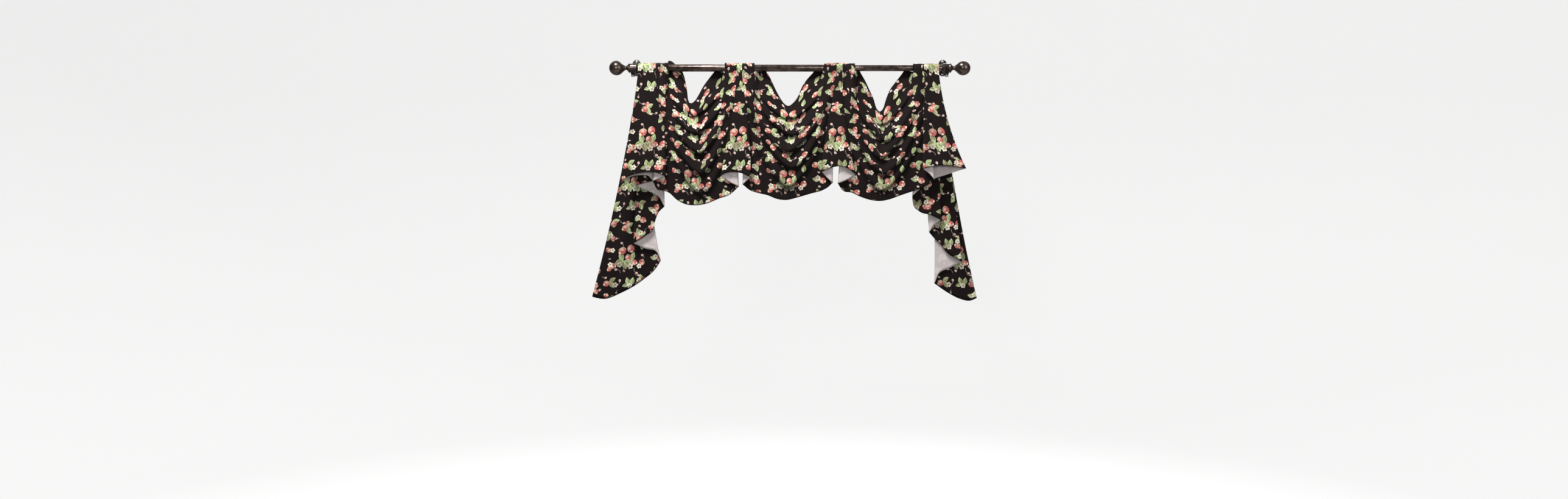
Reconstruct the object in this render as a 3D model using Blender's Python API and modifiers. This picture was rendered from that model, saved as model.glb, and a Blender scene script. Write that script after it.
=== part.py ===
"""Window valance on a curtain rod, in metres, +Z up.

The cloth is one sheet of cotton, looped over the rod at four tabs. A pleat under each tab opens
into a cone at the hem, a swag hangs in cowl folds between two cones, and the sheet zigzags behind
the outer cones as a stepped tail at each end. The rod is a thin tube that slides in a wider one.
It has a ball finial at each end and lies in two wall brackets.

The origin is on the wall, at the height of the rod's axis, midway between the brackets.
+X runs along the rod and -Y points into the room.
"""

import math
from collections import namedtuple

import bmesh
import bpy
import numpy as np
from mathutils import Matrix, Vector

# Rod and brackets
ROD_STANDOFF = 0.085
WIDE_TUBE_RADIUS = 0.0110
THIN_TUBE_RADIUS = 0.0095
TUBE_WALL = 0.0010
WIDE_TUBE_ENDS = (-0.484, 0.150)
THIN_TUBE_ENDS = (0.030, 0.484)
BRACKET_X = 0.476
BRACKET_WIDTH = 0.012
CRADLE_WALL = 0.0042
ARM_HEIGHT = 0.012
ARM_Z = 0.003
PLATE_WIDTH = 0.025
PLATE_BOTTOM = -0.017
PLATE_TOP = 0.034
PLATE_THICKNESS = 0.004
PLATE_HOLE_RADIUS = 0.0023
PLATE_HOLE_FROM_END = 0.0055
FIT_GAP = 0.0004

# Finial, as distances along the rod from the middle of the valance
COLLAR_RADIUS = 0.0135
COLLAR_START = 0.4645
FLANGE_X = 0.4875
FLANGE_RADIUS = 0.0150
NECK_X = 0.4980
NECK_RADIUS = 0.0060
BALL_X = 0.5258
BALL_RADIUS = 0.0222
BALL_START_DEG = 142

# Thumbscrew under each cradle
SCREW_RADIUS = 0.0022
SCREW_HEAD_RADIUS = 0.0052
SCREW_HEAD_HEIGHT = 0.0045
BOSS_RADIUS = 0.0055
BOSS_BOTTOM = -0.0215

# Cloth
CLOTH_THICKNESS = 0.0012
PLEAT_TOP_Z = -0.017
WRAP_START_DEG = 195
WRAP_END_DEG = -65
WRAP_ROWS = 13
DRAPE_ROWS = 40
END_STEPS = (0.0, 0.13, 0.5, 1.0)
TURN_ROUNDNESS = 1.2
TOP_EASE = 3.0
DEPTH_EASE = 0.8
COWL_CURVE = 1.5
COVER_FADE = 0.03
TAB_EDGE_STEPS = 3
TAB_FRONT = 0.0975
COWL_NARROWING = 0.45
TAB_SEAT_GAP = 0.0006
SWAG_BELLY = 0.009
CHORD_WEIGHTS = (1.0, 0.35, 0.4)
CLOTH_TRIANGLES_KEPT = 0.15

# The straight or slightly bowed lines that the sheet turns on, in order along the sheet. Each
# runs from the pleats' top to its own point on the hem, bowed sideways by bow at mid-height.
Fold = namedtuple("Fold", "name top_x hem_x hem_z bow")
FOLDS = (
    Fold("left_edge", -0.461, -0.608, -0.698, 0.010),
    Fold("left_turn_1", -0.387, -0.396, -0.586, -0.034),
    Fold("left_turn_2", -0.453, -0.478, -0.533, 0.004),
    Fold("left_turn_3", -0.386, -0.382, -0.420, 0.002),
    Fold("left_turn_4", -0.452, -0.466, -0.357, 0.000),
    Fold("left_turn_5", -0.418, -0.415, -0.342, 0.000),
    Fold("cone_1_left", -0.459, -0.510, -0.348, 0.004),
    Fold("cone_1_right", -0.411, -0.374, -0.328, 0.012),
    Fold("swag_1_left", -0.396, -0.412, -0.343, 0.000),
    Fold("swag_1_right", -0.166, -0.154, -0.359, 0.000),
    Fold("cone_2_left", -0.155, -0.207, -0.326, 0.000),
    Fold("cone_2_right", -0.151, -0.118, -0.331, 0.010),
    Fold("swag_2_left", -0.138, -0.142, -0.353, 0.000),
    Fold("swag_2_right", 0.135, 0.129, -0.348, 0.000),
    Fold("cone_3_left", 0.147, 0.096, -0.315, -0.007),
    Fold("cone_3_right", 0.153, 0.197, -0.324, -0.006),
    Fold("swag_3_left", 0.167, 0.145, -0.350, 0.000),
    Fold("swag_3_right", 0.400, 0.436, -0.340, 0.000),
    Fold("cone_4_left", 0.412, 0.400, -0.306, -0.003),
    Fold("cone_4_right", 0.451, 0.530, -0.305, -0.014),
    Fold("right_turn_1", 0.384, 0.373, -0.387, 0.000),
    Fold("right_turn_2", 0.447, 0.461, -0.461, 0.000),
    Fold("right_turn_3", 0.386, 0.427, -0.499, 0.000),
    Fold("right_turn_4", 0.448, 0.529, -0.591, 0.004),
    Fold("right_turn_5", 0.390, 0.446, -0.658, 0.017),
    Fold("right_edge", 0.454, 0.578, -0.704, -0.010),
)

# What hangs between two neighbouring fold lines: the steps across it, how far it stands from the
# wall at its two corners on top and its two corners on the hem, and the points that its hem
# passes through on the way, as (x, z).
Panel = namedtuple("Panel", "name steps top_start top_end hem_start hem_end hem_via")
PANELS = (
    Panel("left_tail_3", 5, 0.0755, 0.0755, 0.040, 0.044,
          ((-0.594, -0.702), (-0.571, -0.705), (-0.518, -0.686), (-0.452, -0.647), (-0.405, -0.602))),
    Panel("left_return_3", 3, 0.0790, 0.0790, 0.054, 0.056, ((-0.403, -0.567), (-0.443, -0.549))),
    Panel("left_tail_2", 5, 0.0825, 0.0825, 0.068, 0.068,
          ((-0.436, -0.506), (-0.416, -0.488), (-0.411, -0.466), (-0.402, -0.442))),
    Panel("left_return_2", 3, 0.0860, 0.0860, 0.080, 0.080, ((-0.394, -0.396), (-0.431, -0.373))),
    Panel("left_tail_1", 2, 0.0895, 0.0895, 0.091, 0.091, ((-0.442, -0.348),)),
    Panel("left_return_1", 4, 0.0925, 0.0955, 0.097, 0.106,
          ((-0.424, -0.330), (-0.450, -0.325), (-0.485, -0.332))),
    Panel("cone_1", 6, 0.0988, 0.0990, 0.122, 0.124,
          ((-0.489, -0.331), (-0.462, -0.321), (-0.398, -0.318))),
    Panel("cone_1_return_right", 2, 0.0988, 0.0988, 0.114, 0.114, ((-0.393, -0.335),)),
    Panel("swag_1", 24, 0.0985, 0.0985, 0.102, 0.102,
          ((-0.406, -0.361), (-0.383, -0.371), (-0.362, -0.380), (-0.344, -0.397), (-0.317, -0.412),
           (-0.288, -0.416), (-0.255, -0.412), (-0.212, -0.395), (-0.180, -0.383))),
    Panel("cone_2_return_left", 2, 0.0988, 0.0988, 0.114, 0.114, ((-0.182, -0.345),)),
    Panel("cone_2", 5, 0.0990, 0.0990, 0.124, 0.124, ((-0.193, -0.319), (-0.146, -0.319))),
    Panel("cone_2_return_right", 2, 0.0988, 0.0988, 0.114, 0.114, ((-0.130, -0.342),)),
    Panel("swag_2", 26, 0.0985, 0.0985, 0.102, 0.102,
          ((-0.123, -0.369), (-0.096, -0.379), (-0.069, -0.385), (-0.038, -0.397), (-0.012, -0.400),
           (0.024, -0.392), (0.062, -0.381), (0.102, -0.369), (0.117, -0.360))),
    Panel("cone_3_return_left", 2, 0.0988, 0.0988, 0.114, 0.114, ((0.112, -0.333),)),
    Panel("cone_3", 5, 0.0990, 0.0990, 0.124, 0.124, ((0.110, -0.308), (0.176, -0.306))),
    Panel("cone_3_return_right", 2, 0.0988, 0.0988, 0.114, 0.114, ((0.172, -0.339),)),
    Panel("swag_3", 26, 0.0985, 0.0985, 0.102, 0.102,
          ((0.158, -0.370), (0.187, -0.378), (0.208, -0.388), (0.236, -0.398), (0.271, -0.403),
           (0.304, -0.397), (0.334, -0.386), (0.364, -0.376), (0.402, -0.362))),
    Panel("cone_4_return_left", 2, 0.0988, 0.0988, 0.114, 0.114, ((0.420, -0.321),)),
    Panel("cone_4", 6, 0.0990, 0.0988, 0.124, 0.122, ((0.425, -0.299), (0.480, -0.297))),
    Panel("right_return_1", 6, 0.0955, 0.0900, 0.106, 0.086,
          ((0.466, -0.326), (0.437, -0.336), (0.400, -0.362))),
    Panel("right_tail_1", 5, 0.0870, 0.0870, 0.076, 0.076,
          ((0.375, -0.413), (0.394, -0.435), (0.429, -0.446))),
    Panel("right_return_2", 3, 0.0841, 0.0841, 0.064, 0.064, ((0.437, -0.482),)),
    Panel("right_tail_2", 5, 0.0812, 0.0812, 0.052, 0.052,
          ((0.441, -0.516), (0.464, -0.538), (0.478, -0.558), (0.516, -0.583))),
    Panel("right_return_3", 4, 0.0783, 0.0783, 0.040, 0.040, ((0.490, -0.611), (0.455, -0.633))),
    Panel("right_tail_3", 5, 0.0754, 0.0754, 0.030, 0.026,
          ((0.488, -0.687), (0.531, -0.708), (0.556, -0.712))),
)

# Where the sheet is looped over the rod, the radius of the middle of the cloth there, and that of
# the tube that it rests on
Tab = namedtuple("Tab", "left_x right_x radius tube_radius")
TABS = (
    Tab(-0.458, -0.370, 0.0135, WIDE_TUBE_RADIUS),
    Tab(-0.197, -0.107, 0.0135, WIDE_TUBE_RADIUS),
    Tab(0.105, 0.197, 0.0135, WIDE_TUBE_RADIUS),
    Tab(0.375, 0.452, 0.0135, THIN_TUBE_RADIUS),
)

# Top edge of each swag, as (x, distance from the wall, z). It starts at the edge of one tab,
# bends back under the rod and rises behind it, falls into the scoop, and comes back behind and
# under the rod to the edge of the next tab.
SCOOPS = {
    "swag_1": (
        (-0.370, 0.0985, -0.0170), (-0.3675, 0.0905, -0.0130), (-0.3670, 0.0760, -0.0115),
        (-0.3700, 0.0665, 0.007), (-0.3735, 0.0650, 0.0225), (-0.3650, 0.0650, 0.0240),
        (-0.3570, 0.0650, 0.0205), (-0.3490, 0.0651, 0.0120), (-0.3400, 0.0660, 0.003),
        (-0.328, 0.0670, -0.009), (-0.316, 0.0715, -0.050),
        (-0.311, 0.0770, -0.082), (-0.309, 0.0800, -0.100), (-0.300, 0.0830, -0.107),
        (-0.287, 0.0830, -0.098), (-0.276, 0.0820, -0.080), (-0.264, 0.0790, -0.057),
        (-0.246, 0.0740, -0.031), (-0.231, 0.0690, -0.011), (-0.218, 0.0660, 0.003),
        (-0.210, 0.0660, 0.001), (-0.205, 0.0760, -0.0110), (-0.201, 0.0905, -0.0125),
        (-0.197, 0.0985, -0.017),
    ),
    "swag_2": (
        (-0.107, 0.0985, -0.017), (-0.103, 0.0905, -0.0125), (-0.099, 0.0760, -0.0110),
        (-0.094, 0.0665, 0.000), (-0.087, 0.0655, 0.005), (-0.079, 0.0660, -0.001),
        (-0.070, 0.0680, -0.012), (-0.058, 0.0710, -0.032), (-0.045, 0.0750, -0.061),
        (-0.030, 0.0790, -0.089), (-0.018, 0.0820, -0.107), (-0.004, 0.0840, -0.115),
        (0.010, 0.0830, -0.106), (0.024, 0.0800, -0.088), (0.038, 0.0760, -0.055),
        (0.052, 0.0720, -0.034), (0.070, 0.0680, -0.014), (0.082, 0.0660, 0.001),
        (0.091, 0.0660, 0.002), (0.097, 0.0760, -0.0110), (0.101, 0.0905, -0.0125),
        (0.105, 0.0985, -0.017),
    ),
    "swag_3": (
        (0.197, 0.0985, -0.017), (0.200, 0.0905, -0.0110), (0.203, 0.0760, -0.0100),
        (0.206, 0.0665, -0.002), (0.210, 0.0660, 0.000), (0.215, 0.0670, -0.011),
        (0.228, 0.0700, -0.034), (0.244, 0.0740, -0.069), (0.255, 0.0780, -0.094),
        (0.263, 0.0820, -0.122), (0.273, 0.0840, -0.132), (0.284, 0.0830, -0.122),
        (0.291, 0.0800, -0.099), (0.305, 0.0760, -0.065), (0.322, 0.0720, -0.042),
        (0.345, 0.0680, -0.012), (0.354, 0.0660, 0.002), (0.361, 0.0660, 0.002),
        (0.367, 0.0760, -0.0100), (0.371, 0.0905, -0.0110), (0.375, 0.0985, -0.017),
    ),
}

# Cowl folds of each swag, from the top down: where the fold leaves the left tab, its lowest
# point, where it reaches the right tab, how far it stands out, and how broad it is.
Cowl = namedtuple("Cowl", "left_x left_z low_x low_z right_x right_z height width")
COWLS = {
    "swag_1": (
        Cowl(-0.385, -0.045, -0.294, -0.140, -0.186, -0.040, 0.0109, 0.010),
        Cowl(-0.402, -0.045, -0.286, -0.190, -0.170, -0.048, 0.0159, 0.013),
        Cowl(-0.410, -0.055, -0.272, -0.248, -0.160, -0.060, 0.0188, 0.015),
        Cowl(-0.408, -0.090, -0.268, -0.310, -0.158, -0.088, 0.0167, 0.017),
        Cowl(-0.404, -0.150, -0.264, -0.370, -0.156, -0.145, 0.0101, 0.018),
    ),
    "swag_2": (
        Cowl(-0.122, -0.040, -0.002, -0.150, 0.120, -0.040, 0.0109, 0.010),
        Cowl(-0.138, -0.045, 0.006, -0.196, 0.134, -0.045, 0.0159, 0.013),
        Cowl(-0.142, -0.060, -0.006, -0.244, 0.138, -0.056, 0.0188, 0.015),
        Cowl(-0.140, -0.085, 0.006, -0.294, 0.134, -0.085, 0.0174, 0.017),
        Cowl(-0.138, -0.140, -0.004, -0.350, 0.130, -0.140, 0.0101, 0.018),
    ),
    "swag_3": (
        Cowl(0.184, -0.045, 0.276, -0.166, 0.386, -0.040, 0.0116, 0.010),
        Cowl(0.166, -0.045, 0.286, -0.212, 0.400, -0.048, 0.0167, 0.013),
        Cowl(0.158, -0.062, 0.272, -0.262, 0.410, -0.060, 0.0188, 0.015),
        Cowl(0.152, -0.100, 0.282, -0.312, 0.420, -0.090, 0.0167, 0.017),
        Cowl(0.150, -0.155, 0.276, -0.362, 0.426, -0.145, 0.0101, 0.017),
    ),
}


def clear_scene():
    for obj in list(bpy.data.objects):
        bpy.data.objects.remove(obj, do_unlink=True)


def new_collection(name):
    collection = bpy.data.collections.new(name)
    bpy.context.scene.collection.children.link(collection)
    return collection


def material(name, colour, roughness, metallic=0.0):
    made = bpy.data.materials.new(name)
    made.use_nodes = True
    shader = made.node_tree.nodes["Principled BSDF"]
    shader.inputs["Base Color"].default_value = (*colour, 1.0)
    shader.inputs["Roughness"].default_value = roughness
    shader.inputs["Metallic"].default_value = metallic
    made.diffuse_color = (*colour, 1.0)
    return made


def add_object(name, bm, collection, finish=None):
    mesh = bpy.data.meshes.new(name)
    bm.to_mesh(mesh)
    bm.free()
    obj = bpy.data.objects.new(name, mesh)
    collection.objects.link(obj)
    if finish:
        mesh.materials.append(finish)
    return obj


def modifier(obj, name, kind, **settings):
    made = obj.modifiers.new(name, kind)
    for key, value in settings.items():
        setattr(made, key, value)
    return made


def boolean(obj, other, operation):
    other.hide_render = True
    other.display_type = "WIRE"
    modifier(obj, f"{operation.title()} {other.name}", "BOOLEAN", operation=operation, object=other)


# ---- cloth ----------------------------------------------------------------------------------


def shares_along(points):
    """Share of the curve's weighted length at which each of its points lies."""
    steps = np.linalg.norm(np.diff(points, axis=0) * CHORD_WEIGHTS, axis=1)
    return np.concatenate([[0], np.cumsum(steps)]) / steps.sum()


def curve_through(points, at):
    """Points on a smooth curve through the given ones, at shares 0..1 of its weighted length."""
    points = np.array(points)
    knots = shares_along(points)
    slopes = np.gradient(points, knots, axis=0)
    index = np.clip(np.searchsorted(knots, at, side="right") - 1, 0, len(knots) - 2)
    span = (knots[index + 1] - knots[index])[..., None]
    s = (at - knots[index])[..., None] / span
    return (
        (2 * s**3 - 3 * s**2 + 1) * points[index]
        + (s**3 - 2 * s**2 + s) * span * slopes[index]
        + (3 * s**2 - 2 * s**3) * points[index + 1]
        + (s**3 - s**2) * span * slopes[index + 1]
    )


def fold_x(fold, down):
    return fold.top_x + (fold.hem_x - fold.top_x) * down + 4 * fold.bow * down * (1 - down)


def cowl_relief(cowl, x, z):
    """How far a cowl fold lifts each point: soft above its line and steep below it."""
    side = np.where(x < cowl.low_x, cowl.left_x, cowl.right_x)
    end_z = np.where(x < cowl.low_x, cowl.left_z, cowl.right_z)
    along = np.clip((x - cowl.low_x) / (side - cowl.low_x), 0, 1)
    rise = end_z - cowl.low_z
    line_z = cowl.low_z + rise * along**COWL_CURVE
    slope = COWL_CURVE * rise * along ** (COWL_CURVE - 1) / (side - cowl.low_x)
    width = cowl.width * (1 - COWL_NARROWING * along)
    off = (z - line_z) / np.sqrt(1 + slope**2) / width
    shape = np.where(off > 0, np.exp(-((off / 1.25) ** 2)), np.exp(-((off / 0.75) ** 2)))
    return cowl.height * shape * (1 - along**4)


def turn_share(distance):
    """Share of a rounded turn still to come, 1 on the fold line and 0 past the turn."""
    return 1 - np.sqrt(1 - (1 - np.clip(distance, 0, 1)) ** 2)


def depths(panel, across, down):
    """Distance from the wall before the turns are rounded."""
    top = panel.top_start + (panel.top_end - panel.top_start) * across
    hem = panel.hem_start + (panel.hem_end - panel.hem_start) * across
    return top + (hem - top) * down**DEPTH_EASE


def interior_shares(panel, top):
    """Shares across a panel at which its inner columns lie; a swag has one at each tab's edge."""
    if panel.name not in SCOOPS:
        return np.linspace(0, 1, panel.steps + 1)[1:-1]
    knots = shares_along(np.array(top))
    left, right = knots[1], knots[-2]
    return np.concatenate([
        np.linspace(0, left, TAB_EDGE_STEPS + 1)[1:-1],
        np.linspace(left, right, panel.steps + 1),
        np.linspace(right, 1, TAB_EDGE_STEPS + 1)[1:-1],
    ])


def panel_points(number, rows):
    """Grid of points of one panel, from the pleats' top down to the hem."""
    panel, before, after = PANELS[number], FOLDS[number], FOLDS[number + 1]
    down = np.linspace(0, 1, rows)[:, None]
    width = abs(fold_x(after, down) - fold_x(before, down)) + CLOTH_THICKNESS
    top_corners = [(fold.top_x, y, PLEAT_TOP_Z) for fold, y in
                   ((before, panel.top_start), (after, panel.top_end))]
    top = [top_corners[0], *SCOOPS.get(panel.name, ()), top_corners[1]]
    hem = [(before.hem_x, 0, before.hem_z), *((x, 0, z) for x, z in panel.hem_via),
           (after.hem_x, 0, after.hem_z)]

    def turn(neighbour, share):
        """Depth half way into the neighbour, and the share of the width that the turn takes."""
        here = depths(panel, share, down)
        if neighbour is None:
            return here, None
        middle = (here + depths(neighbour, 1 - share, down)) / 2
        return middle, np.minimum(TURN_ROUNDNESS * abs(middle - here) / width, 0.3)

    start_y, start_turn = turn(PANELS[number - 1] if number else None, 0)
    end_y, end_turn = turn(PANELS[number + 1] if number + 1 < len(PANELS) else None, 1)
    steps = np.array(END_STEPS)
    first = 0 * down if start_turn is None else steps * start_turn
    last = 1 + 0 * down if end_turn is None else 1 - (steps * end_turn)[:, ::-1]
    middle = first[:, -1:] + (last[:, :1] - first[:, -1:]) * interior_shares(panel, top)
    across = np.concatenate([first, middle, last], axis=1)

    top, hem = curve_through(top, across), curve_through(hem, across)
    bow = before.bow + (after.bow - before.bow) * across
    x = top[..., 0] + (hem[..., 0] - top[..., 0]) * down + 4 * bow * down * (1 - down)
    z = top[..., 2] + (hem[..., 2] - top[..., 2]) * down
    y = depths(panel, across, down)
    if panel.name in SCOOPS:
        y = y + (top[..., 1] - panel.top_start) * (1 - down) ** TOP_EASE
        y = y + SWAG_BELLY * np.sin(math.pi * across) * np.sin(math.pi * down**0.8)
        cover = np.minimum(x - fold_x(FOLDS[number - 1], down), fold_x(FOLDS[number + 2], down) - x)
        relief = sum(cowl_relief(cowl, x, z) for cowl in COWLS[panel.name])
        relief = relief * np.clip(1 + cover / COVER_FADE, 0.2, 1)
        y = y + relief
        z = z - 0.45 * relief
    if start_turn is not None:
        y = y + (start_y - depths(panel, 0, down)) * turn_share(across / start_turn)
    if end_turn is not None:
        y = y + (end_y - depths(panel, 1, down)) * turn_share((1 - across) / end_turn)
    return np.stack([x, -y, z], axis=-1)


def tab_over(point):
    """The tab that a point of the pleats' top belongs to, if it lies on the front of one."""
    x, y, _ = point
    for tab in TABS:
        if tab.left_x - CLOTH_THICKNESS < x < tab.right_x + CLOTH_THICKNESS and -y >= TAB_FRONT:
            return tab
    return None


def cloth_grid():
    """Points of the whole sheet, row by row from the tabs' ends, and which of them exist."""
    drape = [panel_points(number, DRAPE_ROWS) for number in range(len(PANELS))]
    drape = np.concatenate([drape[0]] + [points[:, 1:] for points in drape[1:]], axis=1)
    angles = np.radians(np.linspace(WRAP_END_DEG, WRAP_START_DEG, WRAP_ROWS))
    wrap = np.zeros((WRAP_ROWS, drape.shape[1], 3))
    exist = np.ones((WRAP_ROWS + DRAPE_ROWS, drape.shape[1]), bool)
    for column, first in enumerate(drape[0]):
        tab = tab_over(first)
        exist[:WRAP_ROWS, column] = tab is not None
        if tab:
            sag = tab.radius - tab.tube_radius - CLOTH_THICKNESS / 2 - TAB_SEAT_GAP
            wrap[:, column, 0] = first[0]
            wrap[:, column, 1] = -ROD_STANDOFF + tab.radius * np.cos(angles)
            wrap[:, column, 2] = tab.radius * np.sin(angles) - sag
    return np.concatenate([wrap, drape]), exist


def build_cloth(collection):
    points, exist = cloth_grid()
    rows, columns = exist.shape
    bm = bmesh.new()
    bmesh.ops.create_grid(bm, x_segments=columns - 1, y_segments=rows - 1, size=1)
    missing = []
    for vert in bm.verts:
        column = round((vert.co.x + 1) / 2 * (columns - 1))
        row = round((1 - vert.co.y) / 2 * (rows - 1))
        vert.co = points[row, column]
        if not exist[row, column]:
            missing.append(vert)
    bmesh.ops.delete(bm, geom=missing, context="VERTS")
    bmesh.ops.triangulate(bm, faces=bm.faces)
    cloth = add_object(
        "valance_cloth", bm, collection, material("printed cotton", (0.022, 0.014, 0.017), 0.85)
    )
    modifier(cloth, "Fewer faces", "DECIMATE", ratio=CLOTH_TRIANGLES_KEPT)
    modifier(cloth, "Thickness", "SOLIDIFY", thickness=CLOTH_THICKNESS, offset=0.0)
    return cloth


# ---- rod, finials and brackets --------------------------------------------------------------


def turned(name, profile, collection, finish, segments=20):
    """A closed (x, radius) profile turned about the rod's axis."""
    bm = bmesh.new()
    verts = [bm.verts.new((x, 0, radius)) for x, radius in profile]
    edges = [bm.edges.new(pair) for pair in zip(verts, verts[1:] + verts[:1])]
    bmesh.ops.spin(
        bm, geom=verts + edges, axis=(1, 0, 0), cent=(0, 0, 0), angle=math.tau,
        steps=segments, use_merge=True,
    )
    bmesh.ops.remove_doubles(bm, verts=bm.verts, dist=1e-5)
    bmesh.ops.dissolve_degenerate(bm, edges=bm.edges, dist=1e-6)
    bmesh.ops.recalc_face_normals(bm, faces=bm.faces)
    obj = add_object(name, bm, collection, finish)
    obj.location = (0, -ROD_STANDOFF, 0)
    obj.data.shade_smooth()
    obj.data.set_sharp_from_angle(angle=math.radians(35))
    return obj


def build_tube(name, ends, radius, collection, finish):
    start, end = ends
    inside = radius - TUBE_WALL
    return turned(
        name, [(start, radius), (end, radius), (end, inside), (start, inside)], collection, finish
    )


def arc(centre_x, radius, start_deg, end_deg, count):
    """(x, radius) points of a round bead, measured from the +X direction."""
    angles = np.radians(np.linspace(start_deg, end_deg, count))
    return [(centre_x + radius * math.cos(a), radius * math.sin(a)) for a in angles]


def build_finial(name, side, tube_radius, collection, finish):
    bore = tube_radius + FIT_GAP
    socket_end = WIDE_TUBE_ENDS[0] * -1 + 0.0006
    ball = arc(BALL_X, BALL_RADIUS, BALL_START_DEG, 0, 9)
    profile = [
        (COLLAR_START, bore),
        (COLLAR_START, COLLAR_RADIUS - 0.001),
        (COLLAR_START + 0.001, COLLAR_RADIUS),
        (FLANGE_X - 0.0040, COLLAR_RADIUS),
        (FLANGE_X - 0.0015, FLANGE_RADIUS),
        (FLANGE_X + 0.0010, FLANGE_RADIUS),
        (FLANGE_X + 0.0032, NECK_RADIUS + 0.0045),
        (FLANGE_X + 0.0058, NECK_RADIUS + 0.0018),
        (NECK_X - 0.0022, NECK_RADIUS + 0.0003),
        (NECK_X, NECK_RADIUS),
        (NECK_X + 0.0016, NECK_RADIUS + 0.0006),
        *ball,
        (socket_end, 0.0),
        (socket_end, bore),
    ]
    return turned(name, [(side * x, radius) for x, radius in profile], collection, finish)


def box(name, size, centre, collection, finish=None):
    bm = bmesh.new()
    bmesh.ops.create_cube(bm, size=1)
    bmesh.ops.scale(bm, vec=size, verts=bm.verts)
    bmesh.ops.translate(bm, vec=centre, verts=bm.verts)
    return add_object(name, bm, collection, finish)


def cylinder(name, radius, length, centre, axis, collection, finish=None, segments=16):
    bm = bmesh.new()
    bmesh.ops.create_cone(
        bm, cap_ends=True, segments=segments, radius1=radius, radius2=radius, depth=length
    )
    turn = Vector((0, 0, 1)).rotation_difference(Vector(axis)).to_matrix()
    bmesh.ops.rotate(bm, matrix=turn, verts=bm.verts)
    bmesh.ops.translate(bm, vec=centre, verts=bm.verts)
    return add_object(name, bm, collection, finish)


def extruded(name, outline, sweep, centre, collection, finish=None):
    """A closed outline of (x, y, z) points swept straight, its middle put at centre."""
    bm = bmesh.new()
    face = bm.faces.new([bm.verts.new(point) for point in outline])
    swept = bmesh.ops.extrude_face_region(bm, geom=[face])
    moved = [vert for vert in swept["geom"] if isinstance(vert, bmesh.types.BMVert)]
    bmesh.ops.translate(bm, vec=sweep, verts=moved)
    bmesh.ops.translate(bm, vec=Vector(centre) - Vector(sweep) / 2, verts=bm.verts)
    bmesh.ops.recalc_face_normals(bm, faces=bm.faces)
    return add_object(name, bm, collection, finish)


def build_cradle(name, x, collection, finish):
    """The hook under the rod: a bent flat bar, open at the front and the top."""
    inner = COLLAR_RADIUS + FIT_GAP
    outer = inner + CRADLE_WALL
    angles = np.radians(np.linspace(55, -155, 15))
    outline = [(0, inner * math.cos(a), inner * math.sin(a)) for a in angles]
    outline += [(0, outer * math.cos(a), outer * math.sin(a)) for a in angles[::-1]]
    return extruded(name, outline, (BRACKET_WIDTH, 0, 0), (x, -ROD_STANDOFF, 0), collection, finish)


def build_plate(name, x, collection):
    """The wall plate: an upright bar with round ends."""
    radius = PLATE_WIDTH / 2
    outline = []
    for end_z, start_deg in ((PLATE_TOP - radius, 0), (PLATE_BOTTOM + radius, 180)):
        angles = np.radians(np.linspace(start_deg, start_deg + 180, 11))
        outline += [(radius * math.cos(a), 0, end_z + radius * math.sin(a)) for a in angles]
    return extruded(
        name, outline, (0, -PLATE_THICKNESS, 0), (x, -PLATE_THICKNESS / 2, 0), collection
    )


def build_bracket(label, side, collection, cutters, finish):
    """Wall plate, arm and cradle as one casting, with its wall-screw holes and thumbscrew hole."""
    x = side * BRACKET_X
    cradle_back = -ROD_STANDOFF + COLLAR_RADIUS + FIT_GAP + CRADLE_WALL / 2
    arm_length = -PLATE_THICKNESS / 2 - cradle_back
    bracket = build_cradle(f"bracket_{label}", x, collection, finish)
    pieces = (
        box(f"arm_{label}", (BRACKET_WIDTH, arm_length, ARM_HEIGHT),
            (x, cradle_back + arm_length / 2, ARM_Z), cutters),
        build_plate(f"plate_{label}", x, cutters),
        cylinder(f"boss_{label}", BOSS_RADIUS, 0.0055, (x, -ROD_STANDOFF, BOSS_BOTTOM + 0.00275),
                 (0, 0, 1), cutters),
    )
    for piece in pieces:
        boolean(bracket, piece, "UNION")
    for end, z in (
        ("bottom", PLATE_BOTTOM + PLATE_HOLE_FROM_END), ("top", PLATE_TOP - PLATE_HOLE_FROM_END)
    ):
        hole = cylinder(f"wall_hole_{label}_{end}", PLATE_HOLE_RADIUS, 3 * PLATE_THICKNESS,
                        (x, 0, z), (0, 1, 0), cutters, segments=12)
        boolean(bracket, hole, "DIFFERENCE")
    screw_hole = cylinder(f"screw_hole_{label}", SCREW_RADIUS + FIT_GAP, 0.02,
                          (x, -ROD_STANDOFF, -0.022), (0, 0, 1), cutters)
    boolean(bracket, screw_hole, "DIFFERENCE")
    return bracket


def build_thumbscrew(label, side, collection, finish):
    """Shank through the cradle up to the finial's collar, and a knurled head below the boss."""
    x = side * BRACKET_X
    tip = -COLLAR_RADIUS - FIT_GAP
    head_top = BOSS_BOTTOM - FIT_GAP
    shape = (
        (0.0, tip), (SCREW_RADIUS, tip), (SCREW_RADIUS, head_top),
        (SCREW_HEAD_RADIUS - 0.0006, head_top), (SCREW_HEAD_RADIUS, head_top - 0.0006),
        (SCREW_HEAD_RADIUS, head_top - SCREW_HEAD_HEIGHT + 0.0006),
        (SCREW_HEAD_RADIUS - 0.0006, head_top - SCREW_HEAD_HEIGHT),
        (0.0, head_top - SCREW_HEAD_HEIGHT),
    )
    bm = bmesh.new()
    verts = [bm.verts.new((radius, 0, z)) for radius, z in shape]
    edges = [bm.edges.new(pair) for pair in zip(verts, verts[1:])]
    bmesh.ops.spin(
        bm, geom=verts + edges, axis=(0, 0, 1), cent=(0, 0, 0), angle=math.tau, steps=16, use_merge=True
    )
    bmesh.ops.remove_doubles(bm, verts=bm.verts, dist=1e-5)
    bmesh.ops.recalc_face_normals(bm, faces=bm.faces)
    screw = add_object(f"thumbscrew_{label}", bm, collection, finish)
    screw.location = (x, -ROD_STANDOFF, 0)
    return screw


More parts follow.
